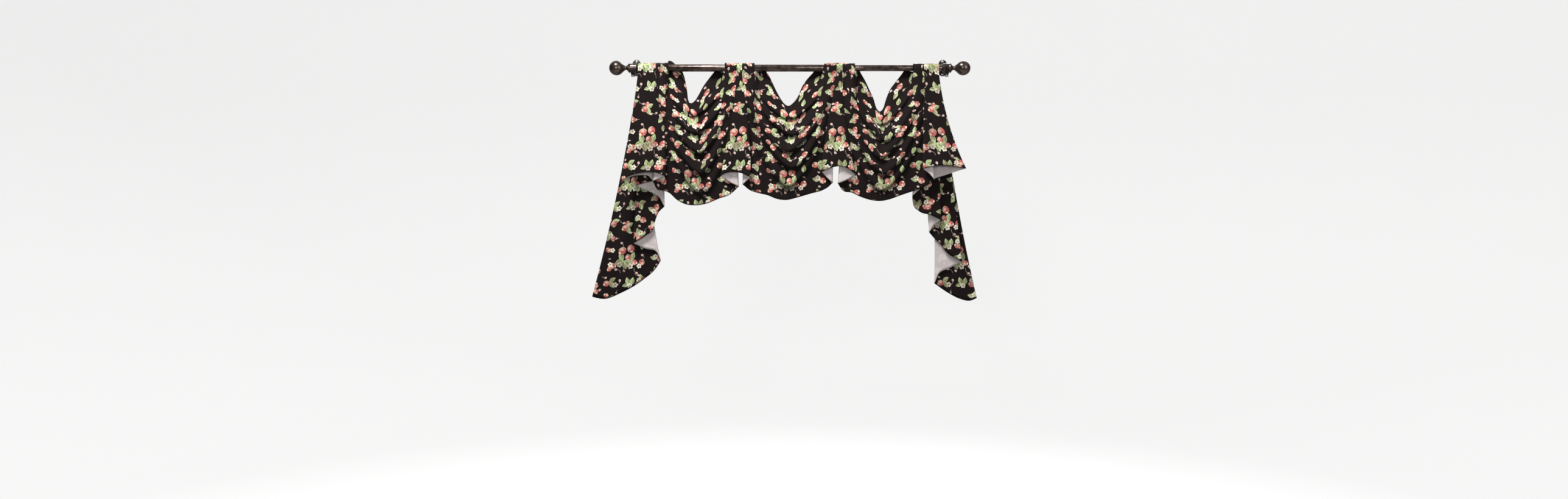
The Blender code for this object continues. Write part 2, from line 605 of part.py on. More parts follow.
def main():
    clear_scene()
    parts = new_collection("window valance")
    cutters = new_collection("cutters")
    bronze = material("oil rubbed bronze", (0.105, 0.075, 0.062), 0.32, 0.9)
    iron = material("dark bracket iron", (0.060, 0.048, 0.044), 0.42, 0.8)
    build_cloth(parts)
    build_tube("rod_wide_tube", WIDE_TUBE_ENDS, WIDE_TUBE_RADIUS, parts, bronze)
    build_tube("rod_thin_tube", THIN_TUBE_ENDS, THIN_TUBE_RADIUS, parts, bronze)
    for label, side, tube_radius in (
        ("left", -1, WIDE_TUBE_RADIUS),
        ("right", 1, THIN_TUBE_RADIUS),
    ):
        build_finial(f"finial_{label}", side, tube_radius, parts, bronze)
        build_bracket(label, side, parts, cutters, iron)
        build_thumbscrew(label, side, parts, iron)


main()
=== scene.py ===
"""Window valance on a curtain rod: the finished look, built around its solid model.

The cloth is one sheet of printed cotton, looped over the rod at four tabs. A pleat under each tab
opens into a cone at the hem, a swag hangs in cowl folds between two cones, and the sheet zigzags
behind the outer cones as a stepped tail at each end. The rod is a thin tube that slides in a
wider one, with a ball finial at each end, and it lies in two wall brackets.

Lengths are in metres. +X runs along the rod, -Y points into the room and +Z is up. The origin is
on the wall, at the height of the rod's axis, midway between the brackets.
"""

from __future__ import annotations

import logging
import math
from dataclasses import dataclass, field
from enum import Enum

import bmesh
import bpy
import numpy as np
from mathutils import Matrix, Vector, noise


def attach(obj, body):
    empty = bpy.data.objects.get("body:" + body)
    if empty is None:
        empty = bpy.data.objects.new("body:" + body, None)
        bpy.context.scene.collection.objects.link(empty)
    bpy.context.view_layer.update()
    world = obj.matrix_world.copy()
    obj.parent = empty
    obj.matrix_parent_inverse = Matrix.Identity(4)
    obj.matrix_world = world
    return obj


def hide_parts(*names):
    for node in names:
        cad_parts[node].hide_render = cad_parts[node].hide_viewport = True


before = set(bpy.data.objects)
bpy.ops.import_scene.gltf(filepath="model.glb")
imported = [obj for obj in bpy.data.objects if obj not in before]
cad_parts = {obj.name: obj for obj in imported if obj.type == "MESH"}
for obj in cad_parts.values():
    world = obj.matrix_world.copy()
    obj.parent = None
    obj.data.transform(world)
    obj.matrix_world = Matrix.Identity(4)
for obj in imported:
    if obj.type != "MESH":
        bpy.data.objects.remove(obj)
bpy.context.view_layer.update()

BODY = "root"
LOG = logging.getLogger("window_valance")

Colour = tuple[float, float, float]
Point = tuple[float, float, float]
Steps = tuple[float, ...]
Socket = bpy.types.NodeSocket
# What feeds a node's input, and a print as its colour, mask and depth
Fed = Socket | float | Point
Layer = tuple[Fed, Fed, Fed]

ROD_STANDOFF = 0.085
WIDE_TUBE_RADIUS = 0.0110
THIN_TUBE_RADIUS = 0.0095
PRINT_COLUMN = 0.242
MM_PER_M = 1000.0
SEAM_GAP = 1e-5


class Side(Enum):
    """End of the rod, as the sign of its X."""

    LEFT = -1
    RIGHT = 1


# ---- shader wiring --------------------------------------------------------------------------


class Wiring:
    """Adds nodes to one node tree and joins them. An input is fed by a socket or a plain value."""

    def __init__(self, tree: bpy.types.NodeTree) -> None:
        """Keeps the tree of a material or a group."""
        self.tree = tree

    def node(
        self, kind: str, values: dict[str, Fed] | None = None, **settings: object
    ) -> bpy.types.Node:
        """Adds a node.

        Args:
            kind: The node's type name, without its ShaderNode prefix.
            values: What feeds each input, by the input's name.
            **settings: Properties of the node.

        Returns:
            The new node.
        """
        node = self.tree.nodes.new(f"ShaderNode{kind}")
        for name, value in settings.items():
            setattr(node, name, value)
        self.fill(node, values or {})
        return node

    def feed(self, socket: Socket, value: Fed) -> None:
        """Feeds one input.

        Args:
            socket: The input.
            value: A socket to link to it, or a value to set there.
        """
        if isinstance(value, Socket):
            self.tree.links.new(value, socket)
        else:
            socket.default_value = (*value, 1.0) if socket.type == "RGBA" else value

    def fill(self, node: bpy.types.Node, values: dict[str, Fed]) -> None:
        """Feeds a node's inputs by their names."""
        for name, value in values.items():
            self.feed(node.inputs[name], value)

    def work(self, kind: str, operation: str, values: tuple[Fed, ...]) -> bpy.types.Node:
        """Adds a node that works on its inputs in order.

        Args:
            kind: The node's type name, without its ShaderNode prefix.
            operation: What it does.
            values: What feeds its first inputs.

        Returns:
            The new node.
        """
        node = self.node(kind, operation=operation)
        for socket, value in zip(node.inputs, values):
            self.feed(socket, value)
        return node

    def math(self, operation: str, *values: Fed) -> Socket:
        """Adds a Math node and returns its value."""
        return self.work("Math", operation, values).outputs[0]

    def vector(self, operation: str, *values: Fed) -> Socket:
        """Adds a Vector Math node and returns its vector, or the value of a length or a product."""
        node = self.work("VectorMath", operation, values)
        return node.outputs["Value" if operation in ("LENGTH", "DOT_PRODUCT") else "Vector"]

    def reach(
        self, place: Socket, centre: Point | None = None, stretch: Point | None = None
    ) -> Socket:
        """Distance of a place from a centre.

        Args:
            place: The place.
            centre: What it is measured from, if not the origin.
            stretch: How much each axis counts, if not one.

        Returns:
            The distance.
        """
        if centre:
            place = self.vector("SUBTRACT", place, centre)
        if stretch:
            place = self.vector("MULTIPLY", place, stretch)
        return self.vector("LENGTH", place)

    def split(self, vector: Socket) -> tuple[Socket, Socket]:
        """Returns the vector's X and Y."""
        parts = self.node("SeparateXYZ", {"Vector": vector}).outputs
        return parts["X"], parts["Y"]

    def join(self, x: Fed, y: Fed) -> Socket:
        """Returns a vector of the given X and Y."""
        return self.node("CombineXYZ", {"X": x, "Y": y}).outputs["Vector"]

    def step(
        self, value: Socket, start: float, end: float, low: float = 0.0, high: float = 1.0
    ) -> Socket:
        """Smooth step of value from low at start to high at end.

        Args:
            value: The value to step.
            start: Where the step starts.
            end: Where the step ends, which may be below its start.
            low: Result at and before start.
            high: Result at and past end.

        Returns:
            The stepped value.
        """
        values = {
            "Value": value, "From Min": start, "From Max": end, "To Min": low, "To Max": high
        }
        made = self.node("MapRange", values, interpolation_type="SMOOTHSTEP", clamp=True)
        return made.outputs["Result"]

    def mix(self, factor: Fed, first: Fed, second: Fed) -> Socket:
        """Mixes two colours.

        Args:
            factor: Share of the second colour.
            first: The first colour.
            second: The second colour.

        Returns:
            The mixed colour.
        """
        node = self.node("Mix", {"Factor": factor}, data_type="RGBA")
        colour_inputs = [socket for socket in node.inputs if socket.type == "RGBA"]
        for socket, value in zip(colour_inputs, (first, second)):
            self.feed(socket, value)
        return next(socket for socket in node.outputs if socket.type == "RGBA")

    def noise(self, vector: Socket, scale: float, detail: float = 3.0) -> Socket:
        """Adds a noise texture and returns its factor."""
        values = {"Vector": vector, "Scale": scale, "Detail": detail}
        return self.node("TexNoise", values).outputs["Fac"]

    def bump(self, height: Socket, distance: float, strength: float) -> Socket:
        """Adds a Bump node and returns its normal."""
        values = {"Height": height, "Distance": distance, "Strength": strength}
        return self.node("Bump", values).outputs["Normal"]


class ShaderGroup:
    """A node group with named inputs and outputs, built once and placed many times."""

    inputs: dict[str, str] = {}
    outputs: dict[str, str] = {}

    def __init__(self, name: str) -> None:
        """Makes the group's tree and sockets, and draws what is inside.

        Args:
            name: The group's name.
        """
        self.tree = bpy.data.node_groups.new(name, "ShaderNodeTree")
        for direction, sockets in (("INPUT", self.inputs), ("OUTPUT", self.outputs)):
            for label, kind in sockets.items():
                self.tree.interface.new_socket(
                    name=label, in_out=direction, socket_type=f"NodeSocket{kind}"
                )
        wiring = Wiring(self.tree)
        entry = self.tree.nodes.new("NodeGroupInput")
        leave = self.tree.nodes.new("NodeGroupOutput")
        given = {label: entry.outputs[label] for label in self.inputs}
        wiring.fill(leave, self.draw(wiring, given))

    def draw(self, wiring: Wiring, given: dict[str, Socket]) -> dict[str, Fed]:
        """Adds the group's nodes.

        Args:
            wiring: Wiring of the group's tree.
            given: The group's input sockets by name.

        Returns:
            What feeds each output, by name.
        """
        raise NotImplementedError

    def place(self, wiring: Wiring, **values: Fed) -> dict[str, Socket]:
        """Places the group in another tree.

        Args:
            wiring: Wiring of that tree.
            **values: What feeds each input, by its name.

        Returns:
            The output sockets by name.
        """
        node = wiring.node("Group", node_tree=self.tree)
        wiring.fill(node, values)
        return {label: node.outputs[label] for label in self.outputs}


# ---- the berry print ------------------------------------------------------------------------


class MotifGroup(ShaderGroup):
    """One printed shape about its own origin, one unit in size.

    X and Y are the place. Depth is how far inside the edge it lies, below nought outside. The
    pairs and fours of numbers below are smooth steps: start, end, and the results there.
    """

    inputs = {"X": "Float", "Y": "Float"}
    outputs = {"Color": "Color", "Mask": "Float", "Depth": "Float"}
    soft_edge: Steps = (0.0, 0.07)

    def printed(self, wiring: Wiring, colour: Socket, inside: Socket) -> dict[str, Fed]:
        """Returns the shape's outputs, with a mask that is soft at the edge."""
        mask = wiring.step(inside, *self.soft_edge)
        return {"Color": colour, "Mask": mask, "Depth": inside}


class Berry(MotifGroup):
    """Round berry: rose, paler to one side, with a dark edge, a soft heart and a cream cap."""

    cream: Colour = (0.80, 0.66, 0.46)
    blush: Colour = (0.82, 0.52, 0.44)
    rose: Colour = (0.50, 0.140, 0.125)
    dark: Colour = (0.16, 0.012, 0.022)
    heart: Colour = (0.25, 0.045, 0.025)
    girth: Point = (1.0, 0.90, 0.0)
    dark_edge: Steps = (0.72, 0.95)
    glow_centre: Point = (0.34, -0.22, 0.0)
    glow_fade: Steps = (0.75, 0.05)
    heart_centre: Point = (-0.10, 0.26, 0.0)
    heart_girth: Point = (1.3, 1.0, 0.0)
    heart_fade: Steps = (0.42, 0.12, 0.0, 0.8)
    cap_centre: Point = (0.0, 0.86, 0.0)
    cap_edge: Steps = (0.44, 0.28)
    lit_side: Point = (0.8, -0.6, 0.0)
    lit_fade: Steps = (0.0, 0.5)
    lit_rim: Steps = (0.76, 0.90)

    def draw(self, wiring: Wiring, given: dict[str, Socket]) -> dict[str, Fed]:
        """Draws the berry.

        Args:
            wiring: Wiring of the group's tree.
            given: The group's input sockets by name.

        Returns:
            What feeds each output, by name.
        """
        place = wiring.join(given["X"], given["Y"])
        reach = wiring.reach(place, stretch=self.girth)
        glow = wiring.reach(place, self.glow_centre)
        heart = wiring.reach(place, self.heart_centre, self.heart_girth)
        cap = wiring.reach(place, self.cap_centre)
        rim = wiring.step(wiring.vector("DOT_PRODUCT", place, self.lit_side), *self.lit_fade)
        colour = wiring.mix(wiring.step(glow, *self.glow_fade), self.rose, self.blush)
        colour = wiring.mix(wiring.step(heart, *self.heart_fade), colour, self.heart)
        colour = wiring.mix(wiring.step(reach, *self.dark_edge), colour, self.dark)
        rim = wiring.math("MULTIPLY", rim, wiring.step(reach, *self.lit_rim))
        colour = wiring.mix(rim, colour, self.cream)
        colour = wiring.mix(wiring.step(cap, *self.cap_edge), colour, self.cream)
        return self.printed(wiring, colour, wiring.math("SUBTRACT", 1.0, reach))


class Blossom(MotifGroup):
    """Five rounded cream petals, greyer towards the clefts, round a yellow-green eye."""

    petal: Colour = (0.88, 0.84, 0.70)
    shade: Colour = (0.22, 0.21, 0.15)
    eye: Colour = (0.26, 0.24, 0.06)
    petals: int = 5
    petal_bluntness: float = 0.55
    petal_length: float = 0.38
    cleft_depth: Steps = (0.60, 0.05)
    cleft_length: Steps = (0.2, 0.5)
    middle_shade: Steps = (0.55, 0.25, 0.0, 0.5)
    eye_edge: Steps = (0.32, 0.18)

    def draw(self, wiring: Wiring, given: dict[str, Socket]) -> dict[str, Fed]:
        """Draws the blossom.

        Args:
            wiring: Wiring of the group's tree.
            given: The group's input sockets by name.

        Returns:
            What feeds each output, by name.
        """
        x, y = given["X"], given["Y"]
        reach = wiring.reach(wiring.join(x, y))
        angle = wiring.math("MULTIPLY", wiring.math("ARCTAN2", y, x), self.petals / 2)
        lobe = wiring.math("ABSOLUTE", wiring.math("COSINE", angle))
        blunt = wiring.math("POWER", lobe, self.petal_bluntness)
        rim = wiring.math("MULTIPLY_ADD", blunt, self.petal_length, 1 - self.petal_length)
        inside = wiring.math("SUBTRACT", rim, reach)
        cleft = wiring.math(
            "MULTIPLY", wiring.step(lobe, *self.cleft_depth), wiring.step(reach, *self.cleft_length)
        )
        colour = wiring.mix(cleft, self.petal, self.shade)
        colour = wiring.mix(wiring.step(reach, *self.middle_shade), colour, self.shade)
        colour = wiring.mix(wiring.step(reach, *self.eye_edge), colour, self.eye)
        return self.printed(wiring, colour, inside)


class Leaf(MotifGroup):
    """Rounded leaf along X, pale at its edge and midrib and darker in each half."""

    pale: Colour = (0.57, 0.64, 0.35)
    green: Colour = (0.105, 0.166, 0.060)
    half_width: float = 0.60
    narrowing: float = -0.28
    least_lean: float = 0.2
    veins_along: float = 13.0
    veins_across: float = -14.0
    vein_shade: Steps = (1.0, 0.2, 0.45, 1.0)
    midrib: Steps = (0.01, 0.09)
    pale_edge: Steps = (0.05, 0.24)
    darker_half: Steps = (-0.06, 0.06, 0.95, 0.50)

    def draw(self, wiring: Wiring, given: dict[str, Socket]) -> dict[str, Fed]:
        """Draws the leaf.

        Args:
            wiring: Wiring of the group's tree.
            given: The group's input sockets by name.

        Returns:
            What feeds each output, by name.
        """
        x, y = given["X"], given["Y"]
        across = wiring.math("ABSOLUTE", y)
        taper = wiring.math("MULTIPLY_ADD", wiring.math("MULTIPLY", x, x), -1.0, 1.0)
        lean = wiring.math("MULTIPLY_ADD", x, self.narrowing, 1.0)
        lean = wiring.math("MAXIMUM", lean, self.least_lean)
        width = wiring.math("MULTIPLY", wiring.math("MULTIPLY", taper, lean), self.half_width)
        inside = wiring.math("SUBTRACT", width, across)
        slant = wiring.math("MULTIPLY", across, self.veins_across)
        vein = wiring.math("MULTIPLY_ADD", x, self.veins_along, slant)
        ribs = wiring.step(wiring.math("SINE", vein), *self.vein_shade)
        body = wiring.math(
            "MULTIPLY", wiring.step(across, *self.midrib), wiring.step(inside, *self.pale_edge)
        )
        side = wiring.math("MULTIPLY", wiring.step(y, *self.darker_half), ribs)
        colour = wiring.mix(wiring.math("MULTIPLY", body, side), self.pale, self.green)
        return self.printed(wiring, colour, inside)


class Bud(MotifGroup):
    """Small round bud at the end of a curled stem."""

    cream: Colour = (0.78, 0.64, 0.55)
    blush: Colour = (0.46, 0.17, 0.15)
    stem: Colour = (0.27, 0.225, 0.195)
    girth: Point = (1.0, 1.18, 0.0)
    bud_edge: Steps = (0.52, 0.46)
    blush_fade: Steps = (0.12, 0.32)
    bud_radius: float = 0.5
    curl: float = 1.45
    stem_edge: Steps = (0.115, 0.085)
    stem_start: Steps = (0.30, 0.40)
    stem_end: Steps = (-1.75, -1.65)

    def draw(self, wiring: Wiring, given: dict[str, Socket]) -> dict[str, Fed]:
        """Draws the bud and its stem.

        Args:
            wiring: Wiring of the group's tree.
            given: The group's input sockets by name.

        Returns:
            What feeds each output, by name.
        """
        x, y = given["X"], given["Y"]
        place = wiring.join(x, y)
        reach = wiring.reach(place, stretch=self.girth)
        round_bud = wiring.step(reach, *self.bud_edge)
        ring = wiring.math("SUBTRACT", wiring.reach(place, (0.0, -self.curl, 0.0)), self.curl)
        stem = wiring.step(wiring.math("ABSOLUTE", ring), *self.stem_edge)
        stem = wiring.math("MULTIPLY", stem, wiring.step(x, *self.stem_start))
        stem = wiring.math("MULTIPLY", stem, wiring.step(y, *self.stem_end))
        colour = wiring.mix(wiring.step(reach, *self.blush_fade), self.blush, self.cream)
        colour = wiring.mix(round_bud, self.stem, colour)
        return {
            "Color": colour,
            "Mask": wiring.math("MAXIMUM", round_bud, stem),
            "Depth": wiring.math("SUBTRACT", self.bud_radius, reach),
        }


class Motif(Enum):
    """The shapes that the print is made of."""

    LEAF = Leaf
    BERRY = Berry
    BLOSSOM = Blossom
    BUD = Bud


@dataclass(frozen=True)
class Sprig:
    """One shape of the chart, in millimetres from the middle of its field."""

    motif: Motif
    x: float
    y: float
    size: float
    turn: float = 0.0


# Drawn in order, so a later shape lies over an earlier one
BOUQUET_FIELD = (
    Sprig(Motif.BUD, -15, 47, 8.0, 330), Sprig(Motif.BUD, 35, -47, 8.0, 165),
    Sprig(Motif.BUD, -30, -35, 8.5, 10), Sprig(Motif.BUD, -5, -40, 8.0, 125),
    Sprig(Motif.LEAF, 21, 6, 13, 72), Sprig(Motif.LEAF, 16, -9, 13, 10),
    Sprig(Motif.LEAF, -15, 5, 14, 118), Sprig(Motif.LEAF, -3, -22, 15, 288),
    Sprig(Motif.LEAF, -22, -13, 15.5, 205), Sprig(Motif.LEAF, 7, -14, 13, 330),
    Sprig(Motif.BERRY, 27, -14, 9.0, 250), Sprig(Motif.BERRY, 7, 1, 9.0, 185),
    Sprig(Motif.BERRY, -12, 22, 12.0, 130), Sprig(Motif.BERRY, 15, 28, 11.4, 195),
    Sprig(Motif.BLOSSOM, -19, -21, 8.5, 0), Sprig(Motif.BLOSSOM, 14, -26, 9.5, 30),
    Sprig(Motif.LEAF, 7, -71, 12, 104), Sprig(Motif.LEAF, 22, -71, 12, 78),
    Sprig(Motif.LEAF, 0, -85, 10, 195), Sprig(Motif.BLOSSOM, 14, -86, 8.5, 20),
    Sprig(Motif.BUD, -17, -70, 8.5, 280), Sprig(Motif.BLOSSOM, -31, -83, 8.5, 5),
    Sprig(Motif.BERRY, 40, -83, 8.5, 60),
)
POSY = (
    Sprig(Motif.BUD, 14, 14, 8.0, 100), Sprig(Motif.BUD, -16, -14, 7.0, 300),
    Sprig(Motif.LEAF, -9, -4, 12.0, 205), Sprig(Motif.LEAF, 7, -10, 11.5, 300),
    Sprig(Motif.BERRY, -5, 9, 9.5, 20), Sprig(Motif.BERRY, 11, 2, 7.5, 250),
    Sprig(Motif.BLOSSOM, -1, -6, 8.0, 10),
)
NOTHING_PRINTED: Layer = (0.0, 0.0, 0.0), 0.0, -1.0


class BerryPrint(ShaderGroup):
    """The whole repeat. Columns of it stand side by side, each a half drop below the last.

    A bouquet stands in the middle of each repeat with a leaf pair below it. Small posies stand
    in a brick pattern round them, each turned its own way and with some of its sprigs left out.
    """

    inputs = {"Flat": "Vector"}
    outputs = {"Color": "Color", "Mask": "Float", "Halo": "Float"}
    column_mm: float = PRINT_COLUMN * MM_PER_M
    drop_mm: float = 240.0
    cells: int = 5
    bouquet_rows: int = 2
    sprig_drift_mm: float = 3.0
    sprig_share: float = 0.74
    crowded_share: float = 0.30
    faded: Colour = (0.115, 0.050, 0.040)
    fade_scale: float = 24.0
    fade: Steps = (0.42, 0.64, 0.0, 0.55)
    halo: Steps = (-0.20, 0.0)

    def __init__(self, name: str) -> None:
        """Makes the groups of the single shapes first, and then the repeat."""
        self.shapes = {motif: motif.value(motif.value.__name__.lower()) for motif in Motif}
        super().__init__(name)

    def in_drop(self, wiring: Wiring, y: Socket) -> Socket:
        """Returns Y brought into the one repeat round its middle."""
        return wiring.math("WRAP", y, self.drop_mm / 2, -self.drop_mm / 2)

    def place_in_repeat(self, wiring: Wiring, flat: Socket) -> tuple[Socket, Socket]:
        """Place from the middle of the nearest bouquet's repeat, in millimetres.

        Args:
            wiring: Wiring of the group's tree.
            flat: Place on the flat cloth, in metres.

        Returns:
            X and Y from the repeat's middle.
        """
        flat_mm = wiring.node("VectorMath", {"Vector": flat, "Scale": MM_PER_M}, operation="SCALE")
        x, y = wiring.split(flat_mm.outputs["Vector"])
        column = wiring.math("ROUND", wiring.math("DIVIDE", x, self.column_mm))
        y = wiring.math("MULTIPLY_ADD", column, -self.drop_mm / 2, y)
        x = wiring.math("MULTIPLY_ADD", column, -self.column_mm, x)
        return x, self.in_drop(wiring, y)

    def print_over(
        self, wiring: Wiring, place: tuple[Socket, Socket], sprig: Sprig, below: Layer,
        shown: Socket | None = None,
    ) -> Layer:
        """Prints a sprig over what is there.

        Args:
            wiring: Wiring of the group's tree.
            place: X and Y from the point that the sprig is measured from, in millimetres.
            sprig: What to print.
            below: What is there.
            shown: Whether the sprig shows at all.

        Returns:
            What is there now.
        """
        x, y = place
        along = math.cos(math.radians(sprig.turn)) / sprig.size
        across = math.sin(math.radians(sprig.turn)) / sprig.size
        start = -along * sprig.x - across * sprig.y, across * sprig.x - along * sprig.y
        rise = wiring.math("MULTIPLY_ADD", y, across, start[0])
        turned_x = wiring.math("MULTIPLY_ADD", x, along, rise)
        rise = wiring.math("MULTIPLY_ADD", y, along, start[1])
        turned_y = wiring.math("MULTIPLY_ADD", x, -across, rise)
        shape = self.shapes[sprig.motif].place(wiring, X=turned_x, Y=turned_y)
        here, depth = shape["Mask"], shape["Depth"]
        if shown is not None:
            here = wiring.math("MULTIPLY", here, shown)
            depth = wiring.math("ADD", depth, wiring.math("SUBTRACT", shown, 1.0))
        return self.lay_over(wiring, below, (shape["Color"], here, depth))

    def lay_over(self, wiring: Wiring, below: Layer, above: Layer) -> Layer:
        """Returns one print laid over another."""
        colour = wiring.mix(above[1], below[0], above[0])
        return colour, *(wiring.math("MAXIMUM", below[part], above[part]) for part in (1, 2))

    def posies(self, wiring: Wiring, place: tuple[Socket, Socket]) -> Layer:
        """Prints a posy in each cell of the repeat that the bouquet leaves free.

        Args:
            wiring: Wiring of the group's tree.
            place: X and Y from the repeat's middle.

        Returns:
            The printed posies.
        """
        wide, high = self.column_mm / self.cells, self.drop_mm / self.cells
        x, y = place
        column = wiring.math("ROUND", wiring.math("DIVIDE", x, wide))
        beside = wiring.math("ABSOLUTE", column)
        brick = wiring.math("MODULO", beside, 2.0)
        y = self.in_drop(wiring, wiring.math("MULTIPLY_ADD", brick, high / 2, y))
        row = wiring.math("ROUND", wiring.math("DIVIDE", y, high))
        cell = wiring.join(column, row)
        above = wiring.math("GREATER_THAN", row, self.bouquet_rows - 0.5)
        free = wiring.math("MAXIMUM", wiring.math("GREATER_THAN", beside, 0.5), above)
        # The two rows level with a bouquet are crowded in its own and the next columns
        level = wiring.math("COMPARE", row, 0.5, 0.6)
        crowded = wiring.math("MULTIPLY", level, wiring.math("LESS_THAN", beside, 1.5))
        share = wiring.step(crowded, 0.0, 1.0, self.sprig_share, self.crowded_share)
        x = wiring.math("MULTIPLY_ADD", column, -wide, x)
        y = wiring.math("MULTIPLY_ADD", row, -high, y)
        spot = wiring.join(x, y)
        turned = wiring.node("VectorRotate", {"Vector": spot}, rotation_type="Z_AXIS")
        turn = self.chance(wiring, cell, 0)[0]
        wiring.fill(turned, {"Angle": wiring.math("MULTIPLY", turn, math.tau)})
        x, y = wiring.split(turned.outputs["Vector"])
        x, y = (wiring.math("ADD", middle, self.sprig_drift_mm) for middle in (x, y))
        printed = NOTHING_PRINTED
        for number, sprig in enumerate(POSY, 1):
            drawn, *drifts = self.chance(wiring, cell, number)
            near = [
                wiring.math("MULTIPLY_ADD", drift, -2 * self.sprig_drift_mm, middle)
                for middle, drift in zip((x, y), drifts)
            ]
            shown = wiring.math("MULTIPLY", free, wiring.math("LESS_THAN", drawn, share))
            printed = self.print_over(wiring, near, sprig, printed, shown)
        return printed

    def chance(self, wiring: Wiring, cell: Socket, number: int) -> tuple[Socket, Socket, Socket]:
        """Three numbers from 0 to 1 that each cell draws for itself.

        Args:
            wiring: Wiring of the group's tree.
            cell: The cell's column and row.
            number: Which draw this is, as each has its own result.

        Returns:
            The three numbers.
        """
        values = {"Vector": cell, "W": float(number)}
        drawn = wiring.node("TexWhiteNoise", values, noise_dimensions="4D").outputs
        parts = wiring.node("SeparateColor", {"Color": drawn["Color"]}).outputs
        return drawn["Value"], parts["Red"], parts["Green"]

    def draw(self, wiring: Wiring, given: dict[str, Socket]) -> dict[str, Fed]:
        """Prints the bouquet over the posies, and lets the colours fade in places.

        The print is worked out in plain numbers, one shape after another. Vectors that change
        type on the way are worked out last, and a shader can't hold so many waiting shapes.

        Args:
            wiring: Wiring of the group's tree.
            given: The group's input sockets by name.

        Returns:
            What feeds each output, by name.
        """
        place = self.place_in_repeat(wiring, given["Flat"])
        bouquet = NOTHING_PRINTED
        for sprig in BOUQUET_FIELD:
            bouquet = self.print_over(wiring, place, sprig, bouquet)
        colour, mask, depth = self.lay_over(wiring, self.posies(wiring, place), bouquet)
        fade = wiring.step(wiring.noise(given["Flat"], self.fade_scale), *self.fade)
        colour = wiring.mix(fade, colour, self.faded)
        return {"Color": colour, "Mask": mask, "Halo": wiring.step(depth, *self.halo)}


class PlainWeave(ShaderGroup):
    """Height of a plain weave, and a soft slub along its threads."""

    inputs = {"Flat": "Vector", "Pitch": "Float"}
    outputs = {"Height": "Float", "Slub": "Float"}
    slub_stretch: Point = (1.0, 0.08, 1.0)
    slub_scale: float = 900.0

    def draw(self, wiring: Wiring, given: dict[str, Socket]) -> dict[str, Fed]:
        """Draws the weave.

        Args:
            wiring: Wiring of the group's tree.
            given: The group's input sockets by name.

        Returns:
            What feeds each output, by name.
        """
        x, y = wiring.split(given["Flat"])
        turns = wiring.math("DIVIDE", math.pi, given["Pitch"])
        warp = wiring.math("SINE", wiring.math("MULTIPLY", x, turns))
        weft = wiring.math("SINE", wiring.math("MULTIPLY", y, turns))
        stretched = wiring.vector("MULTIPLY", given["Flat"], self.slub_stretch)
        return {
            "Height": wiring.math("MULTIPLY_ADD", wiring.math("MULTIPLY", warp, weft), 0.5, 0.5),
            "Slub": wiring.noise(stretched, self.slub_scale),
        }


# ---- finishes -------------------------------------------------------------------------------


def new_material(name: str) -> tuple[bpy.types.Material, Wiring, bpy.types.Node]:
    """Makes a material.

    Args:
        name: The material's name.

    Returns:
        The material, its wiring and its Principled BSDF.
    """
    made = bpy.data.materials.new(name)
    made.use_nodes = True
    return made, Wiring(made.node_tree), made.node_tree.nodes["Principled BSDF"]


